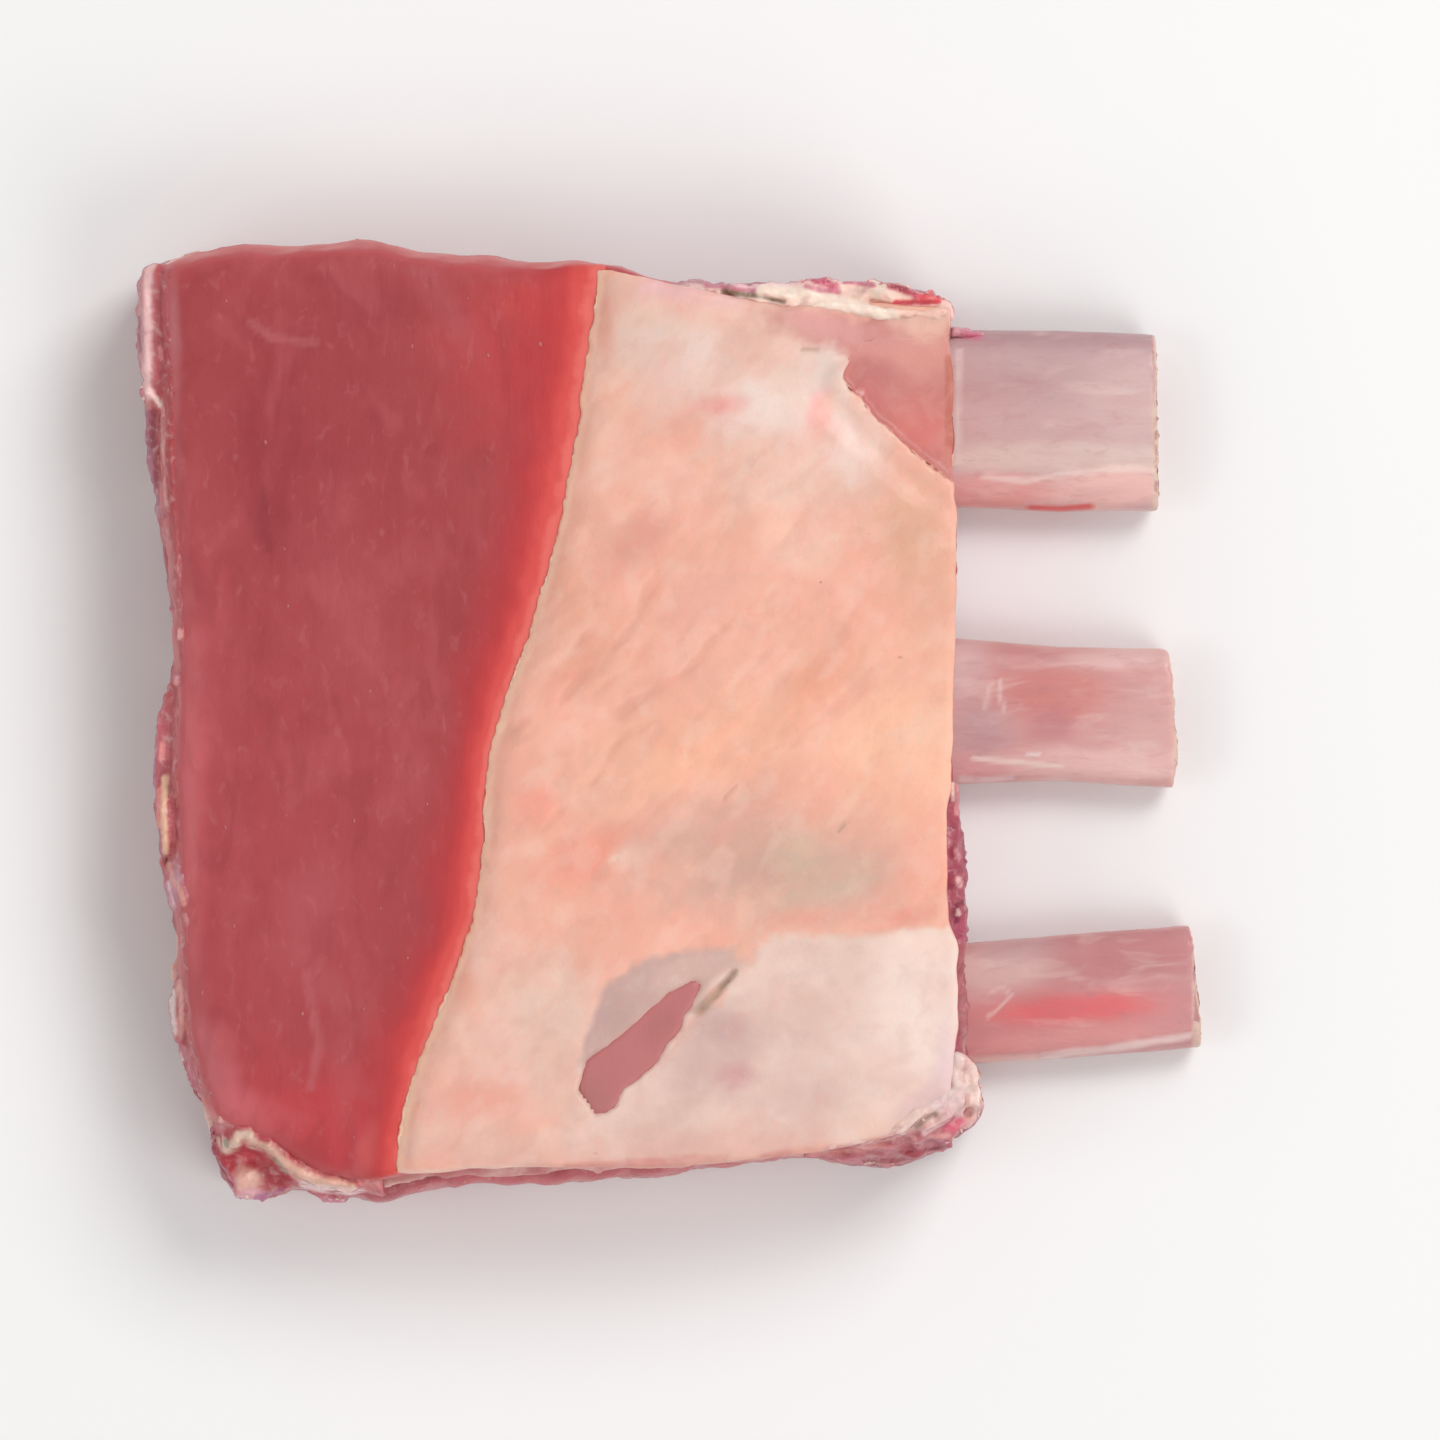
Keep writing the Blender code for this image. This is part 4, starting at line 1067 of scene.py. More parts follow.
# %% Colours where the outer layer was peeled away
paint(fat, "tint_peeled", "#ebccbe", [
    ("#cba69d", -4, -62.5, 25, 11, 44, 0.3, 1.0), ("#dab5a9", 8, -56, 11, 4, 20, 0.6, 0.9),
    ("#c5a19b", -15, -67, 6, 6, 45, 0.7, 0.7), ("#e6c4b6", -2, -86, 18, 8, 34, 0.6, 1.0),
    ("#dab7ad", 11, -76, 11, 9, 30, 0.8, 1.0), ("#cda9a4", 14, -71, 5, 4, 0, 0.8, 0.8),
    ("#d69f9d", 15.5, -81.5, 3.6, 2.6, 20, 0.8, 0.9), ("#e3c2b5", 28, -70, 10, 9, 0, 0.8, 0.8),
    ("#f5d6c7", 58, -52, 14, 5, 0, 0.8, 0.9), ("#f8dfd3", 58, -70, 10, 17, 0, 0.9, 1.0),
    ("#e0bdb2", 30, -86, 10, 7, 0, 0.8, 0.8), ("#e5b8ab", 16, -97, 34, 4.5, 4, 0.7, 0.9),
    ("#efcbbb", 46, -92, 9, 5, 10, 0.7, 0.8), ("#e8c8cb", 63.5, -80, 3.5, 9, 0, 0.8, 0.8),
    ("#e6bfbd", 59, -88, 7, 4, 30, 0.7, 0.9)],
    [("#d98f88", 0.85, 1.3, [(-24, -102.4), (-8.6, -101.8), (20, -100.0), (42.5, -97.9), (52, -95.6)]),
     # painted shade: the olive-brown and darker lines in the shallow slit
     ("#ad8a78", 0.95, 1.3, [(6.4, -66.2), (10.4, -62.4), (14.6, -57.6)]),
     ("#8f7a66", 0.7, 0.6, [(7.4, -65.8), (10.8, -62.6), (13.6, -59.2)]),
     ("#e2b0a6", 0.8, 0.6, [(4.6, -65.0), (5.8, -62.6), (7.6, -60.4)]),
     ("#f0cdc0", 0.7, 0.7, [(4.4, -67.4), (-0.4, -74.6), (-7.6, -82.6), (-11.6, -86.6)])],
    ragged=0.42, lump=7.0, grain=30.0)

# %% Colours of the trimmed corner
paint(fat, "tint_corner", "#cf857e", [
    ("#e09d92", 55, 84.5, 11, 5.5, -10, 0.8, 0.95), ("#c97f7c", 47, 79, 6, 4, 0, 0.7, 0.9),
    ("#d27d7c", 46.5, 74, 4, 3, -40, 0.7, 0.8), ("#dd8078", 58, 67, 8, 6, -30, 0.8, 0.8),
    ("#dfa99f", 30, 91.5, 9, 5, -8, 0.7, 0.9), ("#e7a8a3", 33, 92, 5, 2.4, -6, 0.7, 0.8),
    ("#dd9c97", 44, 89, 9, 3.2, -10, 0.8, 0.9), ("#efbdac", 58, 93.0, 9, 4.4, 0, 0.6, 1.0)],
    # painted shade: the orange-brown strip along the right cut of the corner
    [("#c0705c", 0.9, 1.3, [(64.0, 83), (64.2, 70), (64.4, 60)]),
     # painted highlight: a small glint on the crisp side of the corner
     ("#f3b9b4", 0.95, 0.6, [(42.8, 75.6), (43.8, 75.5)])],
    ragged=0.35, lump=5.0)
store(fat, "corner", soft_patches(places, [
    (36, 90.6, 12, 4.6, -6, 0.9, 0.85), (56, 88.6, 15, 6.0, -3, 0.4, 1.0),
    (44, 88, 8, 4.5, 0, 0.5, 0.9)], 0.4))

# %% Finish of the fat
# Firm suet, cut and cold: waxy and half clear, so light spreads inside it
firm_fat = tissue(
    "firm_cap_fat", "tint",
    [("#fac6ab", 0.26, None, (blotches, 21.0, 0.44, 0.66, ROUND, 0, 1.0, 0.9)),
     ("#ee9d8d", 0.22, None, (blotches, 13.0, 0.46, 0.66, (1.3, 1, 1), DENT_TURN, 5.0, 0.5)),
     ("#d8a48f", 0.24, None, (blotches, 8.5, 0.47, 0.66, (1.4, 0.9, 1), DENT_TURN, 9.0, 0.4)),
     ("#fbd9c9", 0.20, None, (blotches, 6.5, 0.47, 0.66, (1.3, 1, 1), DENT_TURN, 2.0, 0.3)),
     ("#e58f7c", 0.12, None, (blotches, 2.8, 0.52, 0.72, (1.4, 1, 1), DENT_TURN, 6.0, 0.3)),
     # painted shade: the dents are painted darker as well as pressed in
     ("#dd9a86", 0.40, ("dent", 0.1, 1.0, 0.25, 4), None),
     # painted light at the free edge: cream as a painted highlight that also brightens the shade on the
     # thinning slope, and red on the last fraction of a millimetre so that the shade on that thin wall blends
     # into the red band
     ("#fbc9b0", 0.85, ("from_edge", 3.0, 1.2, 0.8, 4), None),
     ("#ffc4a8", 1.0, ("from_edge", 1.8, 1.0), None),
     ("#ff8c7c", 1.0, ("from_edge", 0.60, 0.25), None),
     ("tint_corner", 1.0, ("corner", 0.1, 0.8, 0.3, 4), None),
     ("tint_peeled", 1.0, ("peel_share", 0.15, 0.6), (mask, "peeled", -1.5, 1.1, 0.9, 3.0)),
     ("#f8e2d8", 0.20, ("peeled", 0.5, 2.5), (blotches, 9.0, 0.46, 0.68, ROUND, 0, 3.0, 0.3)),
     ("#d0a9a0", 0.18, ("peeled", 0.5, 2.5), (blotches, 6.0, 0.48, 0.68, ROUND, 0, 8.0, 0.3)),
     ("#e7a394", 0.15, ("peeled", 0.5, 2.5), (blotches, 12.0, 0.50, 0.70, ROUND, 0, 6.0, 0.3)),
     ("tint_corner", 1.0, ("patch", -0.1, 0.35, 0.3, 2), None),
     ("#dd9a90", 0.35, ("patch", -0.1, 0.4), (blotches, 5.0, 0.45, 0.66)),
     ("#dba99c", 0.7, ("opened", -0.7, 0.0, 0.2, 2), None),
     ("#d98d86", 0.8, ("steep", 0.55, 0.9), None),
     ("#c4686c", 0.4, ("steep", 0.7, 0.95), (blotches, 8.0, 0.52, 0.68, (2.5, 2.5, 1), 0, 4.0)),
     ("#8f6f5f", 0.6, None, (pinpricks, 19.0, 0.40)),
     ("#c47f70", 0.5, None, (pinpricks, 12.0, 0.55, (1.6, 1, 1), 3.0))],
    relief=[(2.6, (1.4, 1, 1), DENT_TURN, 0.16), (0.9, ROUND, 0, 0.07)],
    gloss=(0.38, 0.52), glow=(0.30, 2.0), film=0.06)
hand_over(fat, firm_fat, "fat_cap")
fat_height = height_over(fat, lean)

# %% [markdown]
# ## Trimmings on the rim
#
# Around the slab lies what a knife leaves: a curl of fat at the lower left corner, a lip of fat at
# the upper right, red shreds and shiny film. They could be separate strands, but real ones grow
# together and lie flush on the meat. So each stretch of the rim is one lump. It has an outline seen
# from above, a few heights that are known at spots, and ridges or grooves along lines. The known
# heights are blended by distance, and noise tears the outline.

# %% Lumps of torn tissue
# A lump's points are a step apart. Noise of two sizes tears its outline, and its upper side drops
# by a few millimetres over a short way from the edge.
GRID_STEP = 0.5
TEARS = ((0.55, 2.4, 3.0), (0.30, 1.1, 7.0))
ROUND_OFF = 1.6
EDGE_DROP = 3.5
# How fast a known height loses weight with distance, and the distance, squared, that all spots have
FALL_OFF = 1.5
LEAST_AWAY = 0.4
# A film's thickness over what it grows on, the lump's at its rim, and how far in the floor is reached
FILM = 0.25
RIM_THICKNESS = 1.0
UNDERCUT = 4.0


def torn_lump(name, outline, floor, heights, ridges, voxel, over=None):
    """A closed lump over an outline, from the floor's height up to the blended heights, and as a
    film over what it grows on, where that is higher. Its underside draws in towards the slab. A
    ridge has a height (below 0 for a groove), a half width and the line it follows."""
    corners = np.array(outline)
    (left, low), (right, high) = corners.min(axis=0) - 1, corners.max(axis=0) + 1
    columns, rows = np.arange(left, right, GRID_STEP), np.arange(low, high, GRID_STEP)
    spots = np.array([(x, y, 0) for y in rows for x in columns])
    depth = depth_in(spots, outline)
    for amount, size, shift in TEARS:
        depth = depth + amount * wander(spots, size, shift)
    known = np.array(heights)
    away = ((spots[:, None, :2] - known[None, :, :2]) ** 2).sum(axis=2)
    nearness = 1 / (away + LEAST_AWAY) ** FALL_OFF
    top = (nearness * known[:, 2]).sum(axis=1) / nearness.sum(axis=1)
    if over:
        top = np.maximum(top, [(over(x, y) or 0.0) + FILM for x, y in spots[:, :2].tolist()])
    for height, width, line in ridges:
        top += height * np.exp(-(distance_to(spots, line) / width) ** 2)
    run = np.clip(depth / ROUND_OFF, 0, 1)
    top -= EDGE_DROP * (1 - np.sqrt(1 - (1 - run) ** 2))
    inside = depth > 0
    at = np.arange(len(spots)).reshape(len(rows), len(columns))
    cells = np.stack([at[:-1, :-1], at[:-1, 1:], at[1:, 1:], at[1:, :-1]], axis=-1).reshape(-1, 4)
    cells = cells[inside[cells].all(axis=1)].tolist()
    used = sorted({corner for cell in cells for corner in cell})
    place = {corner: number for number, corner in enumerate(used)}
    cells = [[place[corner] for corner in cell] for cell in cells]
    edges = {(a, b) for cell in cells for a, b in zip(cell, cell[1:] + cell[:1])}
    count = len(used)
    walls = [[b, a, a + count, b + count] for a, b in sorted(edges) if (b, a) not in edges]
    floors = [[corner + count for corner in cell[::-1]] for cell in cells]
    drawn_in = np.clip(depth / UNDERCUT, 0, 1) ** 0.6
    bottom = top - RIM_THICKNESS - np.maximum(top - RIM_THICKNESS - floor, 0) * drawn_in
    upper = np.column_stack([spots[used, :2], top[used]])
    lower = np.column_stack([spots[used, :2], bottom[used]])
    mesh = closed_mesh(name, np.vstack([upper, lower]), cells + floors + walls)
    piece = fine_skin(new_piece(name, mesh), voxel, 2)
    weather(piece, ((3.2, 0.32), (1.4, 0.20)))
    store(piece, "wall", smooth_step(normals_of(piece)[:, 2], 0.55, 0.05))
    return piece


# Torn fat, meat and film that grew together: wet, and pale over a crimson side
torn_rim = tissue(
    "torn_rim_tissue", "tint",
    [("#f7e0d6", 0.22, None, (blotches, 2.6, 0.50, 0.70, ROUND, 0, 7.0)),
     ("#8f3046", 0.20, None, (blotches, 3.4, 0.52, 0.72, ROUND, 0, 4.0)),
     ("#b04a5c", 0.85, ("wall", 0.30, 0.80), (blotches, 6.0, 0.26, 0.46, ROUND, 0, 2.0)),
     ("#d99f98", 0.60, ("wall", 0.50, 0.95), (blotches, 5.0, 0.54, 0.68, (2, 2, 0.8), 0, 9.0))],
    relief=[(1.2, ROUND, 0, 0.22), (0.5, ROUND, 0, 0.07)],
    gloss=(0.28, 0.42), glow=(0.24, 1.6), film=0.15)
print("a lump's points are", GRID_STEP, "mm apart")

# %% [markdown]
# The lower left corner has a curl of fat that rises from the rim and runs down along the muscle,
# red flesh inside it, a pale foot below, and a crimson edge outside.

# %% Lower left corner
CURL = [(-103.4, -97.0), (-102.4, -98.6), (-100.8, -97.6), (-99.6, -95.3), (-97.2, -95.1),
        (-96.0, -97.2), (-93.0, -98.0), (-90.6, -100.4), (-88.4, -102.4), (-85.0, -104.4),
        (-80.0, -106.2), (-74.0, -107.4), (-71.0, -107.6)]
curl = torn_lump("lower_left_curl", voxel=0.45, over=lean_height, floor=22.5, outline=[
    (-105.2, -90.5), (-106, -93), (-106.7, -96), (-106.6, -99), (-105, -101.5), (-103, -104),
    (-101.2, -107), (-101.3, -110), (-98, -110.4), (-94, -110.7), (-91, -109.7), (-88.5, -108),
    (-86.8, -107), (-85, -107.9), (-82.5, -109.6), (-80, -111), (-77, -111.3), (-75, -110.8),
    (-73.5, -109.7), (-70.5, -109.4), (-66, -109.4), (-66, -105), (-73, -104.4), (-79, -103),
    (-84, -100.8), (-88, -98.2), (-92, -94.9), (-97, -92.2), (-101.5, -91.4), (-103, -89)], heights=[
    (-104, -92, 32), (-105.5, -97, 27), (-101, -94, 36.5), (-100, -96, 36), (-97, -95, 37),
    (-92, -97, 37.3), (-90, -101, 36), (-88, -100, 37.2), (-84, -104, 36.4), (-84, -102.5, 37.2),
    (-78, -105.6, 36.4), (-72, -106.6, 36), (-67, -106.5, 35.5), (-101, -101.4, 29), (-97, -101, 29.5),
    (-93, -104, 29.5), (-90, -106, 29), (-98, -105, 31), (-98, -108.5, 29), (-93, -109.4, 26.5),
    (-84, -108, 31.5), (-78, -110, 29), (-71, -108.6, 31)], ridges=[
    (1.6, 1.5, CURL), (1.3, 1.6, [(-100, -109), (-97.8, -105), (-96, -103.2)]),
    (-1.3, 0.9, [(-102, -96.4), (-101.6, -94.6)]), (-1.0, 0.9, [(-92.4, -100.6), (-90.2, -103.4)])])
paint(curl, "tint", "#bb4b52", [
    ("#cd7377", -104, -91, 3, 4, 0, 0.5, 0.9), ("#c13c48", -101.6, -102, 3, 1.8, -50, 0.6, 0.9),
    ("#d5545f", -97.5, -100.8, 3, 1.5, 0, 0.6, 0.9), ("#b3474c", -92, -104.4, 4, 2.0, -35, 0.6, 0.9),
    ("#e8b3a4", -98, -106.4, 3.2, 3.4, 20, 0.5, 1.0), ("#dca3ac", -97, -109.2, 4.4, 1.5, 0, 0.5, 0.9),
    ("#dd8f8c", -68, -106.4, 3.4, 2.2, 0, 0.6, 0.9), ("#c97880", -66, -109, 3, 1.6, 0, 0.6, 0.8)],
    [("#a3415f", 0.9, 1.2, [(-106.2, -94.5), (-106.4, -98), (-105.0, -101.6), (-102.8, -104.4)]),
     ("#c8587a", 0.9, 0.8, [(-101.0, -110), (-101.0, -107), (-101.6, -105.4)]),
     ("#b0668c", 0.8, 1.1, [(-95.5, -110), (-92, -109.4), (-89.5, -108.2)]),
     ("#e4c2ae", 1.0, 1.5, CURL[:6]), ("#d9ab99", 1.0, 1.7, CURL[5:9]),
     ("#e3b29e", 1.0, 1.8, CURL[8:12]), ("#efd3d2", 0.9, 1.0, [(-85, -107), (-79, -108), (-71.4, -108.4)]),
     ("#f3c4bc", 0.9, 0.7, [(-75.5, -107.8), (-72, -108.2)]),
     # painted shade: the olive lines in the curl's two grooves
     ("#a3957c", 0.8, 0.8, [(-91.2, -100.8), (-88.8, -103.8)]),
     ("#8f8a70", 0.8, 0.7, [(-102.6, -96.6), (-102.3, -97.6)]),
     ("#f4aca4", 0.9, 0.7, [(-103.8, -91), (-103.7, -92)]),
     ("#cf8494", 0.9, 1.3, [(-80, -110.6), (-75.4, -110.6)])], lump=3.0)
hand_over(curl, torn_rim)

# %% [markdown]
# At the upper right a lip of fat was pulled over the edge. It starts as a thin slit, painted dark as
# its shade, widens to a cream fold with a painted highlight along its ridge, and leaves crimson scraps
# of the muscle between itself and the cap.

# %% Upper right corner
lip = torn_lump("upper_right_lip", voxel=0.45, over=fat_height, floor=34.0, outline=[
    (-2, 100.3), (2, 101.3), (4.5, 102.1), (8, 101.5), (15, 101), (22, 101), (28, 101.3), (31, 101.7),
    (34, 102.4), (36.5, 102.4), (39, 101.6), (43, 101.7), (46, 101.6), (49, 100.9), (52, 100.9),
    (54.5, 100.4), (56.3, 99), (57.5, 98.6), (59.5, 99.4), (61, 98.2), (63, 97.4), (64.4, 96.6),
    (65.2, 95), (65.2, 92.4), (62, 91.4), (55, 92), (49, 91.2), (43, 92.4), (36, 93.6), (30, 94.4),
    (24, 94.8), (18, 96.2), (10, 98), (3, 99), (-2, 99.4)], heights=[
    (0, 100, 42), (5, 100.6, 42), (10, 99, 44), (10, 101, 40), (15, 98.2, 44.6), (20, 97.6, 44.8),
    (18, 100.3, 42), (26, 96.8, 44.8), (26, 100.5, 42), (32, 98.2, 44.6), (35, 95.5, 44.6), (36, 100.8, 42),
    (40, 96, 44.4), (45, 94, 43.8), (50, 92.8, 43.4), (55, 93.6, 43.6), (60, 94, 43.6), (64, 94, 43.0),
    (42, 100.5, 42), (47, 98.5, 43.6), (50, 96.6, 44.0), (55, 97, 43.4), (60, 97.5, 43.0),
    (63.5, 96.5, 42.6), (53, 100, 41)], ridges=[
    (0.6, 1.6, [(22, 98.4), (29.6, 98.4), (36.5, 96.9), (43.4, 94.8), (49, 93.3), (55, 93.4)]),
    (-1.5, 0.7, [(10, 99.1), (15, 98.2), (20, 97.6), (26, 96.3)]),
    (-1.3, 0.8, [(45, 96.8), (50, 95.7), (55, 95.4), (61, 96)]),
    (0.9, 1.0, [(46, 99.6), (49, 98.6), (51, 97)]), (1.0, 1.3, [(33.5, 101), (37.5, 100)]),
    (0.9, 1.1, [(51, 99.8), (55, 98.6)]), (0.9, 0.9, [(58, 98), (61, 97.4)]),
    (-0.9, 0.8, [(38.6, 99), (44, 99.4)])])
paint(lip, "tint", "#fbd5c6", [
    ("#f7c6b5", 57.5, 94, 7, 2.4, 0, 0.5, 1.0), ("#e9beb8", 4, 99.8, 5, 1, 0, 0.5, 0.8),
    ("#eab7ac", 40, 92.8, 9, 1.6, -6, 0.8, 0.8)],
    [("#b8838c", 0.9, 1.1, [(-2, 100.4), (4, 101.4), (8, 100.9), (13, 100.5)]),
     ("#c8788a", 0.9, 0.9, [(8, 100.3), (14, 99.4), (19, 98.9)]),
     ("#f4c2ca", 0.9, 0.9, [(15.5, 100.3), (21, 100.1), (28, 100.4)]),
     # painted shade: the dark olive line in the groove of the slit
     ("#8f7862", 1.0, 0.8, [(12, 98.8), (16, 98.1), (20, 97.7), (25.8, 96.3)]),
     # the cream fold, painted brightest along its ridge: partly the fold's own cream, partly a painted
     # highlight
     ("#ffe6d4", 0.9, 1.9, [(21, 98.8), (28, 98.5), (34, 97.2), (40, 95.6), (46, 94.0), (51, 93.0)]),
     ("#e8c6b4", 0.8, 1.0, [(42, 97.6), (46, 97.0), (49, 95.4)]),
     ("#f2bcb8", 0.9, 0.9, [(28.5, 101.3), (32, 101.3)]),
     ("#cf5672", 1.0, 1.5, [(33.4, 101.4), (35.5, 101), (37.6, 99.7)]),
     ("#d4808e", 0.9, 0.8, [(31, 99.9), (34, 99.1), (38.5, 98.7)]),
     ("#c96f84", 0.9, 0.8, [(39.8, 100.9), (44, 100.6), (46.5, 100.2)]),
     ("#e6c4b8", 0.8, 0.8, [(41, 99.4), (44.5, 98.6)]),
     ("#ead6c6", 1.0, 0.9, [(47.6, 100.9), (48.4, 99.4), (46.4, 98.4), (47, 97.4)]),
     ("#bf4d5c", 1.0, 1.1, [(50.4, 100.1), (53.2, 99.4), (55.6, 98.4), (57, 97)]),
     ("#9a3a48", 0.8, 0.6, [(51, 100), (53.6, 99.7)]),
     ("#c07866", 0.9, 0.6, [(46, 96.6), (49.5, 95.8), (53, 95.3)]),
     ("#d65864", 1.0, 0.8, [(51.6, 96), (57, 96.2), (61.5, 96.5)]),
     ("#ea5f69", 1.0, 1.1, [(57.4, 97.7), (59.6, 98.2), (61.6, 96.9)]),
     ("#f5beb6", 0.9, 1.1, [(63.2, 96.4), (64.6, 94.8), (64.6, 92.4)]),
     ("#dcb6a4", 0.7, 0.8, [(53.2, 92.8), (54.8, 91.8)])], lump=3.0)
hand_over(lip, torn_rim)

# %% [markdown]
# The lower right corner is where the slab was torn off the next rib: pale tufts on the fat, crimson
# fibres below them, and a ragged lump of fat beside the narrow bone.

# %% Lower right corner
tufts = torn_lump("lower_right_tufts", voxel=0.5, over=fat_height, floor=21.5, outline=[
    (30, -101), (36, -101.3), (41, -102), (44, -102.7), (47, -102.6), (51, -103.2), (53, -102.2),
    (57, -101), (60, -99.6), (62, -99), (65, -98.4), (64.6, -96.5), (66.5, -94.9), (68.5, -93.8),
    (70.6, -91.8), (71.2, -90.4), (72.4, -89.3), (71.9, -87.5), (71.8, -85), (71.0, -83.4),
    (71.2, -81.4), (70.8, -79.5), (69.6, -77.6), (66.5, -75), (64.2, -75.6), (63.8, -84), (60.5, -86),
    (55, -88.5), (51.5, -91.5), (49, -94.2), (42, -95.4), (34, -97), (30, -98.4)], heights=[
    (61, -87, 44.6), (56, -89.5, 44.6), (65.6, -83, 44.8), (66, -78, 44.4), (52, -93, 44.4),
    (58, -92.4, 43.2), (63, -90, 43.2), (66.6, -87, 42), (68.6, -82, 40), (70.4, -86, 36),
    (69.4, -90.8, 33), (66, -92.8, 37), (62, -94.6, 38.5), (56, -96, 39.5), (60, -98.4, 30), (55, -98.8, 32), (50, -97, 38), (45, -96.8, 40),
    (45, -99.4, 34), (46, -102, 26.5), (52, -101.8, 27), (38, -99.4, 33), (33, -100.4, 30)], ridges=[
    (1.0, 0.9, [(53.2, -94), (55.5, -92.2), (58, -90.2), (60.2, -89.2)]),
    (1.1, 0.9, [(58.5, -94), (61.5, -92), (64.5, -90.6)]),
    (-1.4, 0.8, [(56.4, -92.8), (58.6, -91), (60.6, -90.2)]),
    (1.2, 1.2, [(69.6, -92), (70.2, -88), (70.2, -83)]), (-1.6, 0.7, [(68.2, -90), (68.3, -85.6)]),
    (1.0, 0.7, [(42, -98), (52, -97.8), (61, -95.6)]), (1.0, 0.7, [(40, -100.4), (52, -100.2), (60, -98)]),
    (-1.0, 0.6, [(46, -99), (57.5, -98.8), (63.5, -97.2)])])
paint(tufts, "tint", "#c7747c", [
    ("#ecccbf", 55.5, -89.6, 9, 4.4, 22, 0.4, 1.0), ("#eacbc8", 63, -85.5, 5, 5, 0, 0.4, 1.0),
    ("#eed2c9", 64.6, -79.5, 2.6, 6.5, 0, 0.3, 1.0),
    ("#dfb6b4", 64.6, -90.4, 3.4, 1.4, 20, 0.6, 0.9), ("#da667a", 65, -92.8, 3, 1.3, 22, 0.6, 1.0),
    ("#c06f74", 57.5, -96.0, 5, 1.4, 8, 0.6, 0.9), ("#f1d2c7", 69.6, -84, 2.6, 9, 0, 0.5, 1.0)],
    [("#f6d6cd", 0.95, 0.9, [(52.4, -94.6), (55.4, -92.4)]),
     ("#f2c8c4", 0.9, 0.9, [(58.2, -94.6), (61.6, -92.6), (63, -91.4)]),
     # painted shade: the grey line in the groove between the tufts
     ("#ad877e", 0.85, 0.8, [(56.4, -92.9), (58.8, -91), (60.6, -90.2)]),
     ("#9a4a50", 0.8, 0.5, [(57.5, -98.9), (60.5, -98.6), (63.6, -98)]),
     ("#e39d98", 0.9, 0.8, [(59.6, -95.4), (63.8, -95.3)]),
     ("#a3414a", 0.95, 1.0, [(44.5, -101), (52, -101.2), (56.5, -100.6)]),
     ("#b2505c", 0.8, 0.8, [(45.5, -99.2), (54, -99.6), (58.4, -99.2)]),
     ("#df928c", 0.9, 1.0, [(32, -99.6), (42, -98.8), (49, -97.6)]),
     ("#efc3b8", 0.9, 0.9, [(32, -98.4), (40, -97.2), (46, -96.2), (51, -95.4)]),
     ("#fbe8de", 0.9, 0.7, [(71.0, -85.6), (71.1, -87)]),
     ("#d29a8d", 0.8, 0.6, [(68.2, -86), (68.1, -89.8)]),
     ("#b75c74", 0.8, 0.8, [(62, -97.2), (64.2, -96.8)]),
     ("#deb0aa", 0.9, 0.7, [(45.2, -102.3), (46.2, -102.4)])], lump=3.0)
hand_over(tufts, torn_rim)

# %% [markdown]
# Down the left side the seam of fat is cut at a slant. It shows as a pale strip at the top, lilac
# film below, a cream strip on the bulge under the middle, and white film further down.

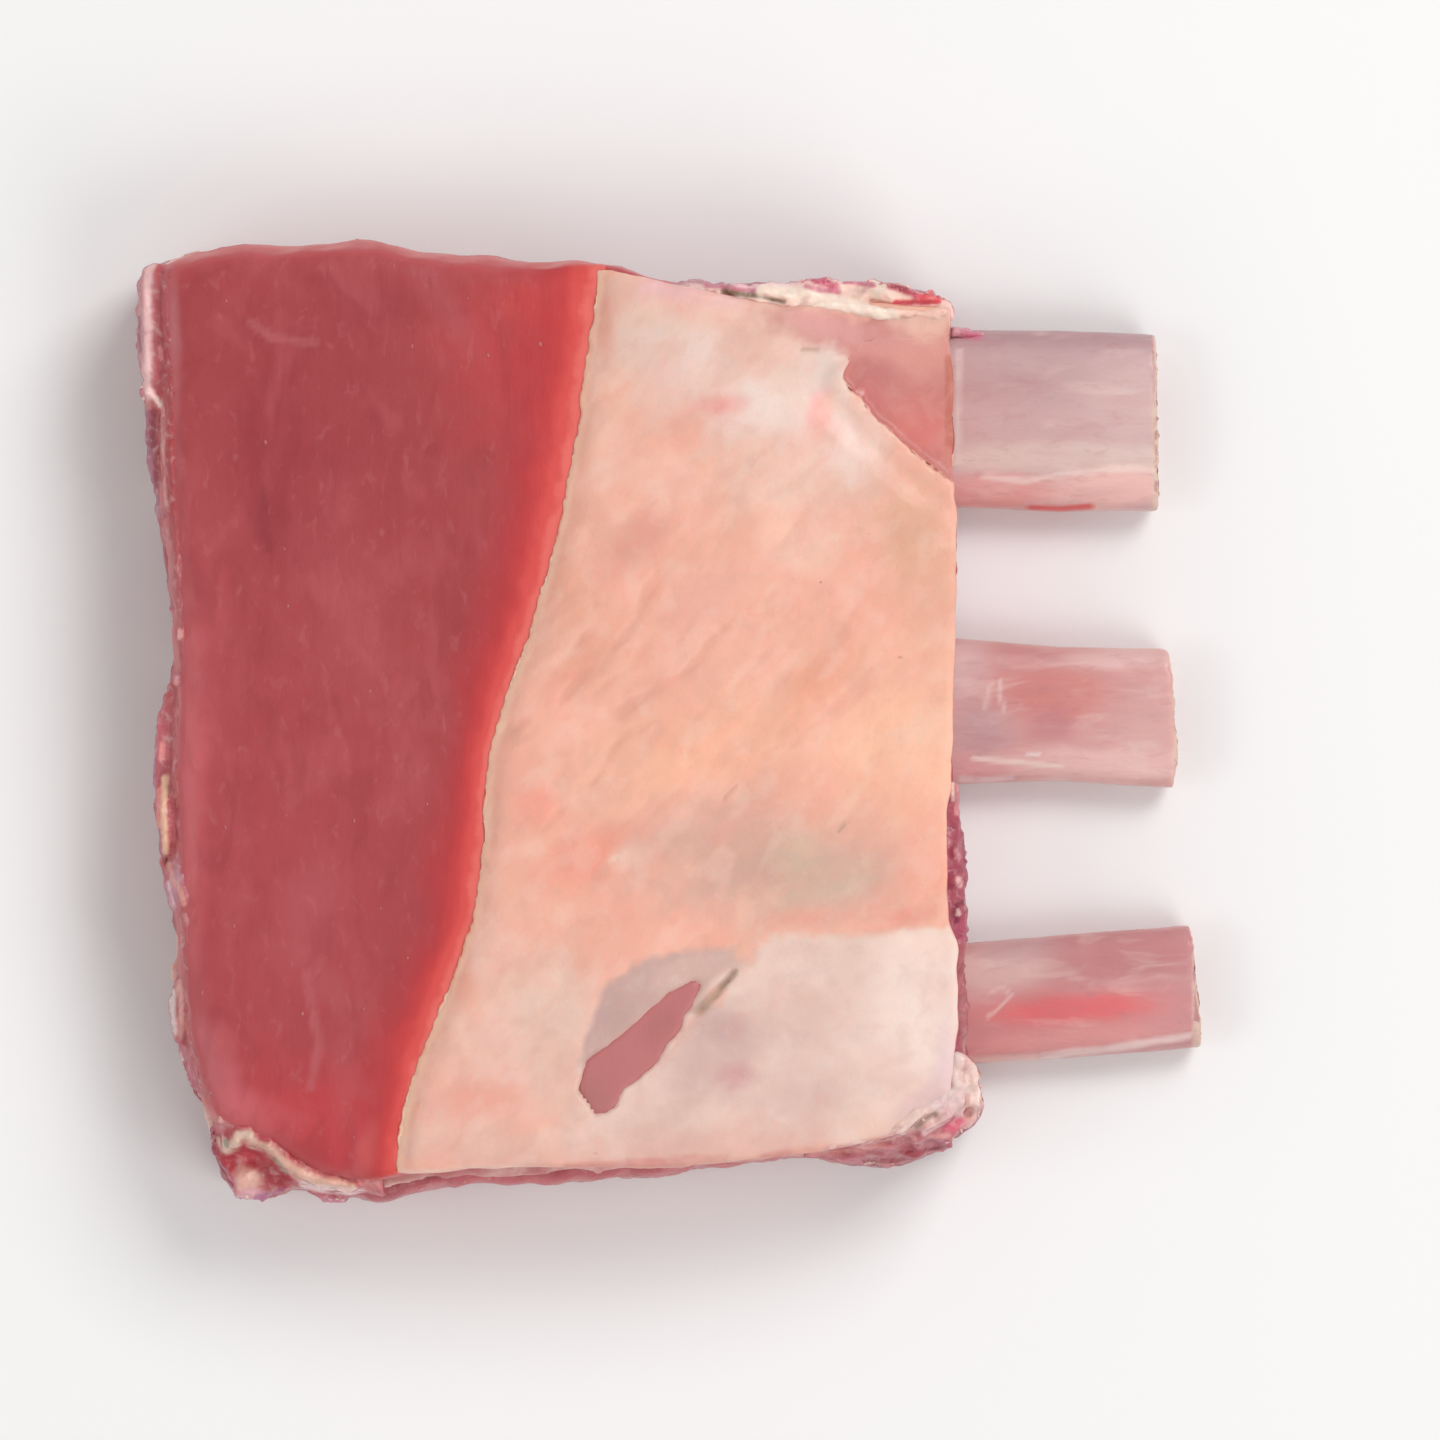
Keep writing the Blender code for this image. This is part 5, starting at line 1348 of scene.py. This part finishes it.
# %% Left side
left_side = torn_lump("left_side_film", voxel=0.55, over=lean_height, floor=23.0, outline=[
    (-118.4, 106), (-121.5, 105), (-122.9, 102.5), (-123.2, 98), (-123.5, 92), (-123.5, 87), (-122.8, 82),
    (-122, 78.4), (-122.8, 75.6), (-121.6, 73.6), (-121.4, 70), (-121.8, 66), (-121.2, 61), (-120.4, 57),
    (-119.6, 52), (-118.8, 47), (-117.6, 43), (-116.4, 38), (-116.3, 30), (-115.6, 25), (-114.6, 21),
    (-114.6, 16), (-115.2, 10), (-117, 6), (-118.4, 2), (-119, -2), (-119.3, -8), (-119.7, -13),
    (-119.2, -19), (-118.2, -26), (-117.8, -33), (-117.4, -37), (-116.2, -42), (-114.4, -45),
    (-113.8, -50), (-113.6, -56), (-114.8, -60), (-116, -64), (-115.8, -69), (-114.8, -73),
    (-113.6, -77), (-112.4, -81), (-110.6, -84.6), (-108.4, -87.4), (-106.4, -88), (-104, -86),
    (-107, -80), (-109.4, -72), (-110, -64), (-109.8, -56), (-109.8, -46), (-110, -40), (-111.4, -32),
    (-112, -20), (-112.4, -6), (-112.4, 2), (-111.4, 8), (-110.8, 16), (-111, 24), (-111.6, 36),
    (-112.2, 46), (-112.8, 56), (-113, 66), (-113.2, 76), (-113.8, 84), (-114.4, 92), (-114.4, 100),
    (-113.6, 104.6)], heights=[
    (-121.4, 101, 33), (-121.6, 88, 33), (-118.6, 92, 34.6), (-118.6, 101, 34.6), (-120.8, 76, 33),
    (-117.8, 80, 34.6), (-120.4, 64, 28), (-117.4, 62, 34), (-118.4, 52, 29), (-115.6, 50, 34),
    (-116, 36, 30), (-113.4, 34, 34.4), (-114, 18, 31), (-112.6, 16, 34.4), (-113.2, 8, 34.4),
    (-117.5, 0, 32), (-114.4, 0, 34.8), (-118.2, -14, 32), (-116, -20, 35), (-114, -22, 35.6),
    (-116.6, -36, 31), (-113.2, -38, 35), (-112.8, -52, 32), (-111.4, -52, 35), (-115, -66, 31),
    (-112, -66, 35), (-113, -78, 29), (-110, -78, 34.6), (-108.6, -85, 30), (-106.6, -84, 34)], ridges=[
    (0.9, 1.1, [(-121.4, 103), (-121.2, 95), (-120.9, 88), (-121.1, 82), (-120.6, 76)]),
    (1.3, 1.0, [(-122.4, 75.6), (-120, 75), (-118, 73)]), (-1.2, 0.6, [(-122.5, 93), (-122.4, 85)]),
    (1.0, 0.9, [(-117, -10), (-116.7, -20), (-116.4, -30), (-115.2, -35), (-113, -40)]),
    (-1.4, 0.7, [(-116.6, -31.4), (-116.2, -32.8)]), (0.9, 1.2, [(-114.8, -61), (-115, -67), (-114, -73)]),
    (1.3, 0.9, [(-113.0, 20.6), (-113.2, 19.6)]), (1.2, 0.9, [(-113.9, 10), (-113.8, 8.8)]),
    (1.2, 0.9, [(-109, -86.4), (-108.4, -86.9)])])
paint(left_side, "tint", "#bd5a5e", [
    ("#b4494d", -113.6, 74, 3.6, 36, -4, 0.6, 1.0), ("#cf6c74", -117.8, -4, 1.8, 9, 0, 0.6, 0.9),
    ("#cc8896", -115.2, -39, 2.2, 6.4, -14, 0.5, 1.0), ("#c46a7c", -112, -80, 1.8, 7, 20, 0.6, 0.9)],
    [("#cb8e92", 0.95, 2.6, [(-121.4, 105), (-121.4, 96), (-121.2, 90), (-121.2, 80), (-121.0, 76)]),
     ("#efc4c1", 0.85, 1.2, [(-119.4, 105.4), (-120.6, 103.6), (-120.7, 96), (-120.6, 90), (-120.6, 84),
                             (-121.0, 78), (-120.2, 75)]),
     ("#95606e", 0.7, 0.5, [(-122.6, 93), (-122.5, 88), (-122.3, 85)]),
     ("#c8506e", 0.9, 0.8, [(-122.4, 77), (-121.8, 74.4)]),
     ("#f8d6cc", 0.95, 0.8, [(-120.0, 76), (-118.6, 74.2), (-117.8, 72.8)]),
     ("#ee9a9c", 0.8, 0.7, [(-117.8, 86), (-117.4, 83.6)]),
     ("#ad667c", 0.95, 1.3, [(-121, 71), (-121, 66), (-120.2, 60), (-119.4, 54), (-118.4, 48)]),
     ("#a4525a", 0.9, 0.9, [(-119.4, 71), (-119.2, 62), (-118.4, 54)]),
     ("#9c3c30", 0.9, 0.5, [(-117.9, 69.5), (-117.8, 64), (-117.9, 61)]),
     ("#e09490", 0.85, 0.6, [(-117.0, 72), (-117.0, 66), (-117.0, 58), (-116.4, 50)]),
     ("#cc8086", 0.8, 0.9, [(-116.8, 44), (-115.8, 36), (-115.9, 28)]),
     ("#f2aca6", 0.95, 0.8, [(-113.2, 20.6), (-113.2, 19.6)]),
     ("#efa2a8", 0.95, 0.9, [(-113.9, 10), (-114, 9)]),
     ("#f59a94", 0.95, 0.8, [(-117.2, -5.5), (-117.4, -8.5)]),
     ("#a8505c", 0.8, 0.6, [(-117, -10.5), (-117.6, -14)]),
     ("#b4668a", 0.85, 0.7, [(-119.1, -8), (-119.4, -14), (-118.5, -22), (-118, -31)]),
     ("#ea8880", 0.9, 0.8, [(-118, -16), (-117.9, -24)]),
     ("#f0c0a2", 1.0, 0.9, [(-116.6, -13), (-116.8, -22), (-116.5, -30)]),
     ("#6f2a20", 1.0, 0.6, [(-116.5, -31.8), (-116.4, -32.5)]),
     ("#e59c92", 0.9, 0.8, [(-115.7, -33), (-115, -36), (-113, -39), (-112, -42)]),
     ("#ecd2d6", 0.7, 0.4, [(-116, -37), (-114.6, -42)]),
     ("#c4848a", 0.8, 0.9, [(-113.4, -46), (-113.2, -55)]),
     ("#e0c8c5", 1.0, 1.2, [(-115, -62.5), (-115.2, -67), (-114.6, -71.5)]),
     ("#e5a79e", 0.9, 0.8, [(-113.4, -60), (-112.8, -66), (-113, -73)]),
     ("#efb8b4", 0.9, 0.9, [(-109.2, -86.4), (-108.2, -87)]),
     ("#e8c4c0", 0.9, 0.5, [(-113.4, -76.6), (-112.6, -79)])], lump=3.0)
hand_over(left_side, torn_rim)

# %% [markdown]
# Down the right side, between the bones, crimson shreds of the rib meat reach up to the fat. A thin
# brown-red line of the same meat goes on above the narrow bone.

# %% Right side
shreds = torn_lump("right_side_shreds", voxel=0.45, floor=22.0, outline=[
    (64.2, -12.5), (66.4, -15.0), (66.2, -20), (66.9, -24), (67.6, -27), (68.1, -31), (68.2, -36),
    (68, -42), (68.5, -48), (68.2, -52), (67.6, -56), (67.6, -60), (68.4, -64), (68.6, -68), (68, -72),
    (67.7, -78), (61.6, -78), (61.4, -60), (61, -50), (60.6, -44), (60.6, -36), (60.8, -24),
    (61.6, -12.5)], heights=[
    (64.6, -14, 43), (65.4, -20, 41), (65, -30, 43.4), (67.2, -30, 37), (65, -37, 43.5), (67.2, -38, 38),
    (65, -44, 43.5), (67.4, -46, 38), (65.6, -52, 43), (66.6, -60, 41.4), (67.8, -66, 38), (67, -74, 39.4),
    (62.4, -16, 43.4), (62.4, -30, 43.6), (62.4, -44, 43.6), (62.8, -58, 43.5), (62.8, -68, 43.5),
    (64.6, -76, 43.4), (64.8, -60, 43.4), (65, -68, 43.4)], ridges=[
    (1.0, 0.8, [(65.4, -29.6), (65.8, -31)]), (1.1, 0.8, [(66, -36.4), (66.3, -37.6)]),
    (-1.3, 0.7, [(67.2, -41.6), (65.6, -41.8), (64.8, -44), (65.6, -46)]),
    (1.0, 0.7, [(65.8, -43.4), (65.9, -44.2)])])
paint(shreds, "tint", "#a84a5a", [
    ("#b34a68", 67, -47.6, 1.6, 3.2, 0, 0.6, 0.9), ("#b2696c", 67.4, -66, 1.6, 14, 0, 0.5, 0.9)],
    [("#dd9092", 0.8, 0.8, [(65.6, -13.6), (66.2, -17), (65.6, -21)]),
     ("#f2cdc0", 0.9, 0.5, [(64.6, -14.4), (64.8, -18)]),
     ("#dd8590", 0.9, 0.9, [(65.4, -29.6), (65.8, -31)]),
     ("#ecb0aa", 0.95, 1.0, [(66, -36.4), (66.3, -37.6)]),
     ("#86263f", 0.95, 0.8, [(67.2, -41.6), (65.6, -41.8), (64.8, -44), (65.6, -46)]),
     ("#f1cac2", 1.0, 0.7, [(65.8, -43.4), (65.9, -44.2)]),
     ("#8f3248", 0.8, 0.6, [(67.6, -24), (67.9, -34)]),
     ("#c69290", 0.8, 0.7, [(67.8, -73), (67.4, -78)])], lump=3.0)

# %% Finish of the shreds, and the scrap on the wide bone
# Loose raw meat: the reddest and wettest surface of the slab
wet_scrap = tissue(
    "wet_meat_scraps", "tint",
    [("#7f2238", 0.35, None, (blotches, 3.4, 0.50, 0.68, ROUND, 0, 5.0)),
     ("#e0a09f", 0.30, None, (blotches, 2.4, 0.54, 0.70, ROUND, 0, 2.0)),
     ("#a03a50", 0.60, ("wall", 0.4, 0.95), (blotches, 5.0, 0.36, 0.60, ROUND, 0, 8.0))],
    relief=[(1.0, ROUND, 0, 0.22), (0.4, ROUND, 0, 0.07)],
    gloss=(0.24, 0.40), glow=(0.15, 1.4), film=0.2)
hand_over(shreds, wet_scrap)
remnant = torn_lump("bone_top_remnant", voxel=0.45, floor=7.0, outline=[
    (64, 92), (66, 91.7), (69, 90.9), (72.6, 90.2), (73, 88.8), (70, 88.6), (64, 88.6)], heights=[
    (65, 90.6, 13.5), (69, 89.8, 13), (72, 89.4, 12)], ridges=[])
paint(remnant, "tint", "#dc9aa2", [("#c9607c", 69, 89.4, 2.4, 1, -8, 0.6, 0.9)], lump=3.0)
hand_over(remnant, wet_scrap)
rim_height = height_over(curl, lip, tufts, left_side, shreds)

# %% [markdown]
# ## Flecks and tags
#
# Two things repeat without a plan. Flecks of fat lie on the lean where the knife smeared them, and
# small blunt tags hang on every torn edge. Geometry Nodes scatter both: flecks on the muscle's own
# surface, tags along a path. Placing them one by one would take longer and look no better.

# %% Flecks on the lean
def scatter_tree(name, inputs):
    """A new tree with a mesh and named numbers as its inputs."""
    tree = bpy.data.node_groups.new(name, "GeometryNodeTree")
    tree.interface.new_socket("Geometry", in_out="INPUT", socket_type="NodeSocketGeometry")
    for socket in inputs:
        tree.interface.new_socket(socket, in_out="INPUT", socket_type="NodeSocketFloat")
    tree.interface.new_socket("Seed", in_out="INPUT", socket_type="NodeSocketInt")
    tree.interface.new_socket("Geometry", in_out="OUTPUT", socket_type="NodeSocketGeometry")
    return tree, add(tree, "NodeGroupInput").outputs


def scattered(tree, given, points, grow, spin_low, spin_high, finish, rough=None):
    """Small flattened grains on points, each with its own size and turn, as one plain mesh."""
    grain = add(tree, "GeometryNodeMeshUVSphere", {"Segments": 8, "Rings": 6, "Radius": 1.0})
    spin = add(tree, "FunctionNodeRandomValue", {"Min": spin_low, "Max": spin_high, "Seed": given["Seed"]},
               data_type="FLOAT_VECTOR")
    growth = add(tree, "FunctionNodeRandomValue", {2: grow[0], 3: grow[1], "Seed": 5}, data_type="FLOAT")
    flat = add(tree, "ShaderNodeCombineXYZ", {0: given["Length"], 1: given["Width"],
                                              2: calculated(tree, "MULTIPLY", given["Width"], 0.6)})
    size = add(tree, "ShaderNodeVectorMath", {0: flat.outputs[0], "Scale": growth.outputs[1]},
               operation="SCALE")
    grains = add(tree, "GeometryNodeInstanceOnPoints",
                 {"Points": points, "Instance": grain.outputs["Mesh"], "Rotation": spin.outputs[0],
                  "Scale": size.outputs[0]})
    made = add(tree, "GeometryNodeRealizeInstances", {0: grains.outputs[0]})
    if rough:
        ripple = add(tree, "ShaderNodeTexNoise", {"Scale": 1 / (1.4 * MM), "Detail": 1.0})
        centred = add(tree, "ShaderNodeVectorMath", {0: ripple.outputs["Color"], 1: (0.5, 0.5, 0.5)},
                      operation="SUBTRACT")
        pushed = add(tree, "ShaderNodeVectorMath", {0: centred.outputs[0], "Scale": rough},
                     operation="SCALE")
        made = add(tree, "GeometryNodeSetPosition",
                   {"Geometry": made.outputs[0], "Offset": pushed.outputs[0]})
    smooth = add(tree, "GeometryNodeSetShadeSmooth", {0: made.outputs[0]})
    painted = add(tree, "GeometryNodeSetMaterial", {"Geometry": smooth.outputs[0], "Material": finish})
    add(tree, "NodeGroupOutput", {0: painted.outputs[0]})
    return tree


def fleck_tree(finish):
    """Flat grains of fat, at least a set distance apart, where the attribute bare marks the mesh."""
    tree, given = scatter_tree("scatter_flecks", ("Closest", "Most per Square Metre", "Width", "Length"))
    bare = add(tree, "GeometryNodeInputNamedAttribute", {"Name": "bare"}, data_type="FLOAT")
    spots = add(tree, "GeometryNodeDistributePointsOnFaces",
                {"Mesh": given["Geometry"], "Distance Min": given["Closest"], "Seed": given["Seed"],
                 "Density Max": given["Most per Square Metre"], "Density Factor": bare.outputs[0]},
                distribute_method="POISSON")
    return scattered(tree, given, spots.outputs["Points"], grow=(0.4, 1.0),
                     spin_low=(0.0, 0.0, 1.2), spin_high=(0.0, 0.0, 2.0), finish=finish)


bare_field = lean.data.copy()
bare = smooth_step(steep, 0.12, 0.04) * smooth_step(from_fat, 5.0, 9.0)
bare_field.attributes.new("bare", "FLOAT", "POINT").data.foreach_set("value", bare)
# Traces of fat smeared thin over the lean: a dull pink that hardly stands out
smeared_fat = tissue("smeared_fat_flecks", "#bb6266",
                     [("#c87c7b", 0.7, None, (blotches, 5.0, 0.45, 0.65))],
                     relief=[(0.6, ROUND, 0, 0.05)], gloss=(0.60, 0.70), glow=(0.3, 0.8))
flecks = run_tree("lean_flecks", fleck_tree(smeared_fat), {
    "Closest": 0.012, "Most per Square Metre": 2600.0, "Width": 0.42 * MM, "Length": 0.70 * MM, "Seed": 14},
    bare_field)
hand_over(flecks, smeared_fat)


# %% Tags on torn edges
def tag_tree(name, finish):
    """Blunt tags along a path, strewn a little to all sides of it."""
    tree, given = scatter_tree(name, ("Spacing", "Width", "Length", "Stray"))
    path = add(tree, "GeometryNodeMeshToCurve", {"Mesh": given["Geometry"]})
    beads = add(tree, "GeometryNodeResampleCurve", {"Curve": path.outputs[0], "Length": given["Spacing"]},
                mode="LENGTH")
    stray = add(tree, "FunctionNodeRandomValue", {"Min": (-1.0, -1.0, -1.0), "Max": (1.0, 1.0, 1.0),
                                                  "Seed": given["Seed"]}, data_type="FLOAT_VECTOR")
    offset = add(tree, "ShaderNodeVectorMath", {0: stray.outputs[0], "Scale": given["Stray"]},
                 operation="SCALE")
    strewn = add(tree, "GeometryNodeSetPosition",
                 {"Geometry": beads.outputs[0], "Offset": offset.outputs[0]})
    return scattered(tree, given, strewn.outputs[0], grow=(0.35, 1.15),
                     spin_low=(-0.7, -0.7, 0.0), spin_high=(0.7, 0.7, 6.3), finish=finish,
                     rough=calculated(tree, "MULTIPLY", given["Width"], 1.2))


def smooth_path(points, step):
    """Points about a step apart on a Catmull-Rom curve through the given ones."""
    given = np.array(points, float)
    padded = np.vstack([2 * given[0] - given[1], given, 2 * given[-1] - given[-2]])
    dense = []
    for a, b, c, d in zip(padded, padded[1:], padded[2:], padded[3:]):
        count = max(2, round(float(np.linalg.norm(c - b)) / step))
        t = np.linspace(0, 1, count, endpoint=False)[:, None]
        dense.append(0.5 * (2 * b + (c - a) * t + (2 * a - 5 * b + 4 * c - d) * t**2
                            + (3 * b - a - 3 * c + d) * t**3))
    return np.vstack(dense + [given[-1:]])


def laid_on(height, path):
    """A path given as seen from above, laid on what carries it. Points beside it all are left out."""
    return [(x, y, height(x, y)) for x, y in path if height(x, y) is not None]


def edge_lines(name, lines):
    """A mesh of open lines, for tags to be strewn along."""
    points, edges = [], []
    for path in lines:
        line = smooth_path(path, 1.5)
        edges += [(len(points) + at, len(points) + at + 1) for at in range(len(line) - 1)]
        points += [tuple(point * MM) for point in line]
    mesh = bpy.data.meshes.new(name)
    mesh.from_pydata(points, edges, [])
    return mesh


TORN_EDGES = [laid_on(rim_height, path) for path in (
    # the lumps of the lower right corner, and the torn side below it
    [(70.4, -81), (71.0, -84), (71.2, -88), (70.4, -90.6)], [(68.6, -92.8), (65.6, -94.6), (63.8, -97)],
    [(52.4, -94.2), (55, -92.6), (57.6, -91.2)], [(44.6, -101.6), (47, -101.8), (51, -101.9)],
    # behind the lip at the upper right
    [(30, 100.8), (34, 101.4), (38, 100.8)], [(44, 100.8), (49, 100.2), (54, 99.4)],
    [(58.6, 98.2), (62.6, 96.8)],
    # the lower left corner and the left side
    [(-105.6, -94), (-105.8, -98), (-104, -101.6)], [(-100.8, -108), (-98, -109.6)],
    [(-79, -110.2), (-75.6, -110.2)],
    [(-121.8, 77), (-121.4, 74.6)], [(-113.4, -76.6), (-111.4, -81.6), (-109, -86)])]
torn_tags = run_tree("torn_tags", tag_tree("torn_tags", torn_rim), {
    "Spacing": 1.3 * MM, "Width": 0.40 * MM, "Length": 0.70 * MM, "Stray": 0.30 * MM, "Seed": 21},
    edge_lines("torn_edges", TORN_EDGES))
store(torn_tags, "wall", np.zeros(len(torn_tags.data.vertices)))
paint(torn_tags, "tint", "#e9c3b8", [
    ("#c25a74", 36, 101.2, 7, 2, 0, 0.5, 0.8), ("#b84a5c", 54, 99, 9, 2, -15, 0.5, 0.8),
    ("#b85a70", -105, -98, 3, 7, 10, 0.5, 0.8), ("#c77c86", -110.6, -82, 3, 5, 20, 0.5, 0.6)], lump=1.5)
hand_over(torn_tags, torn_rim)

# %% Sizes, and the end
low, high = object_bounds()
print("visual box", [round(value / MM, 1) for value in (*low, *high)])
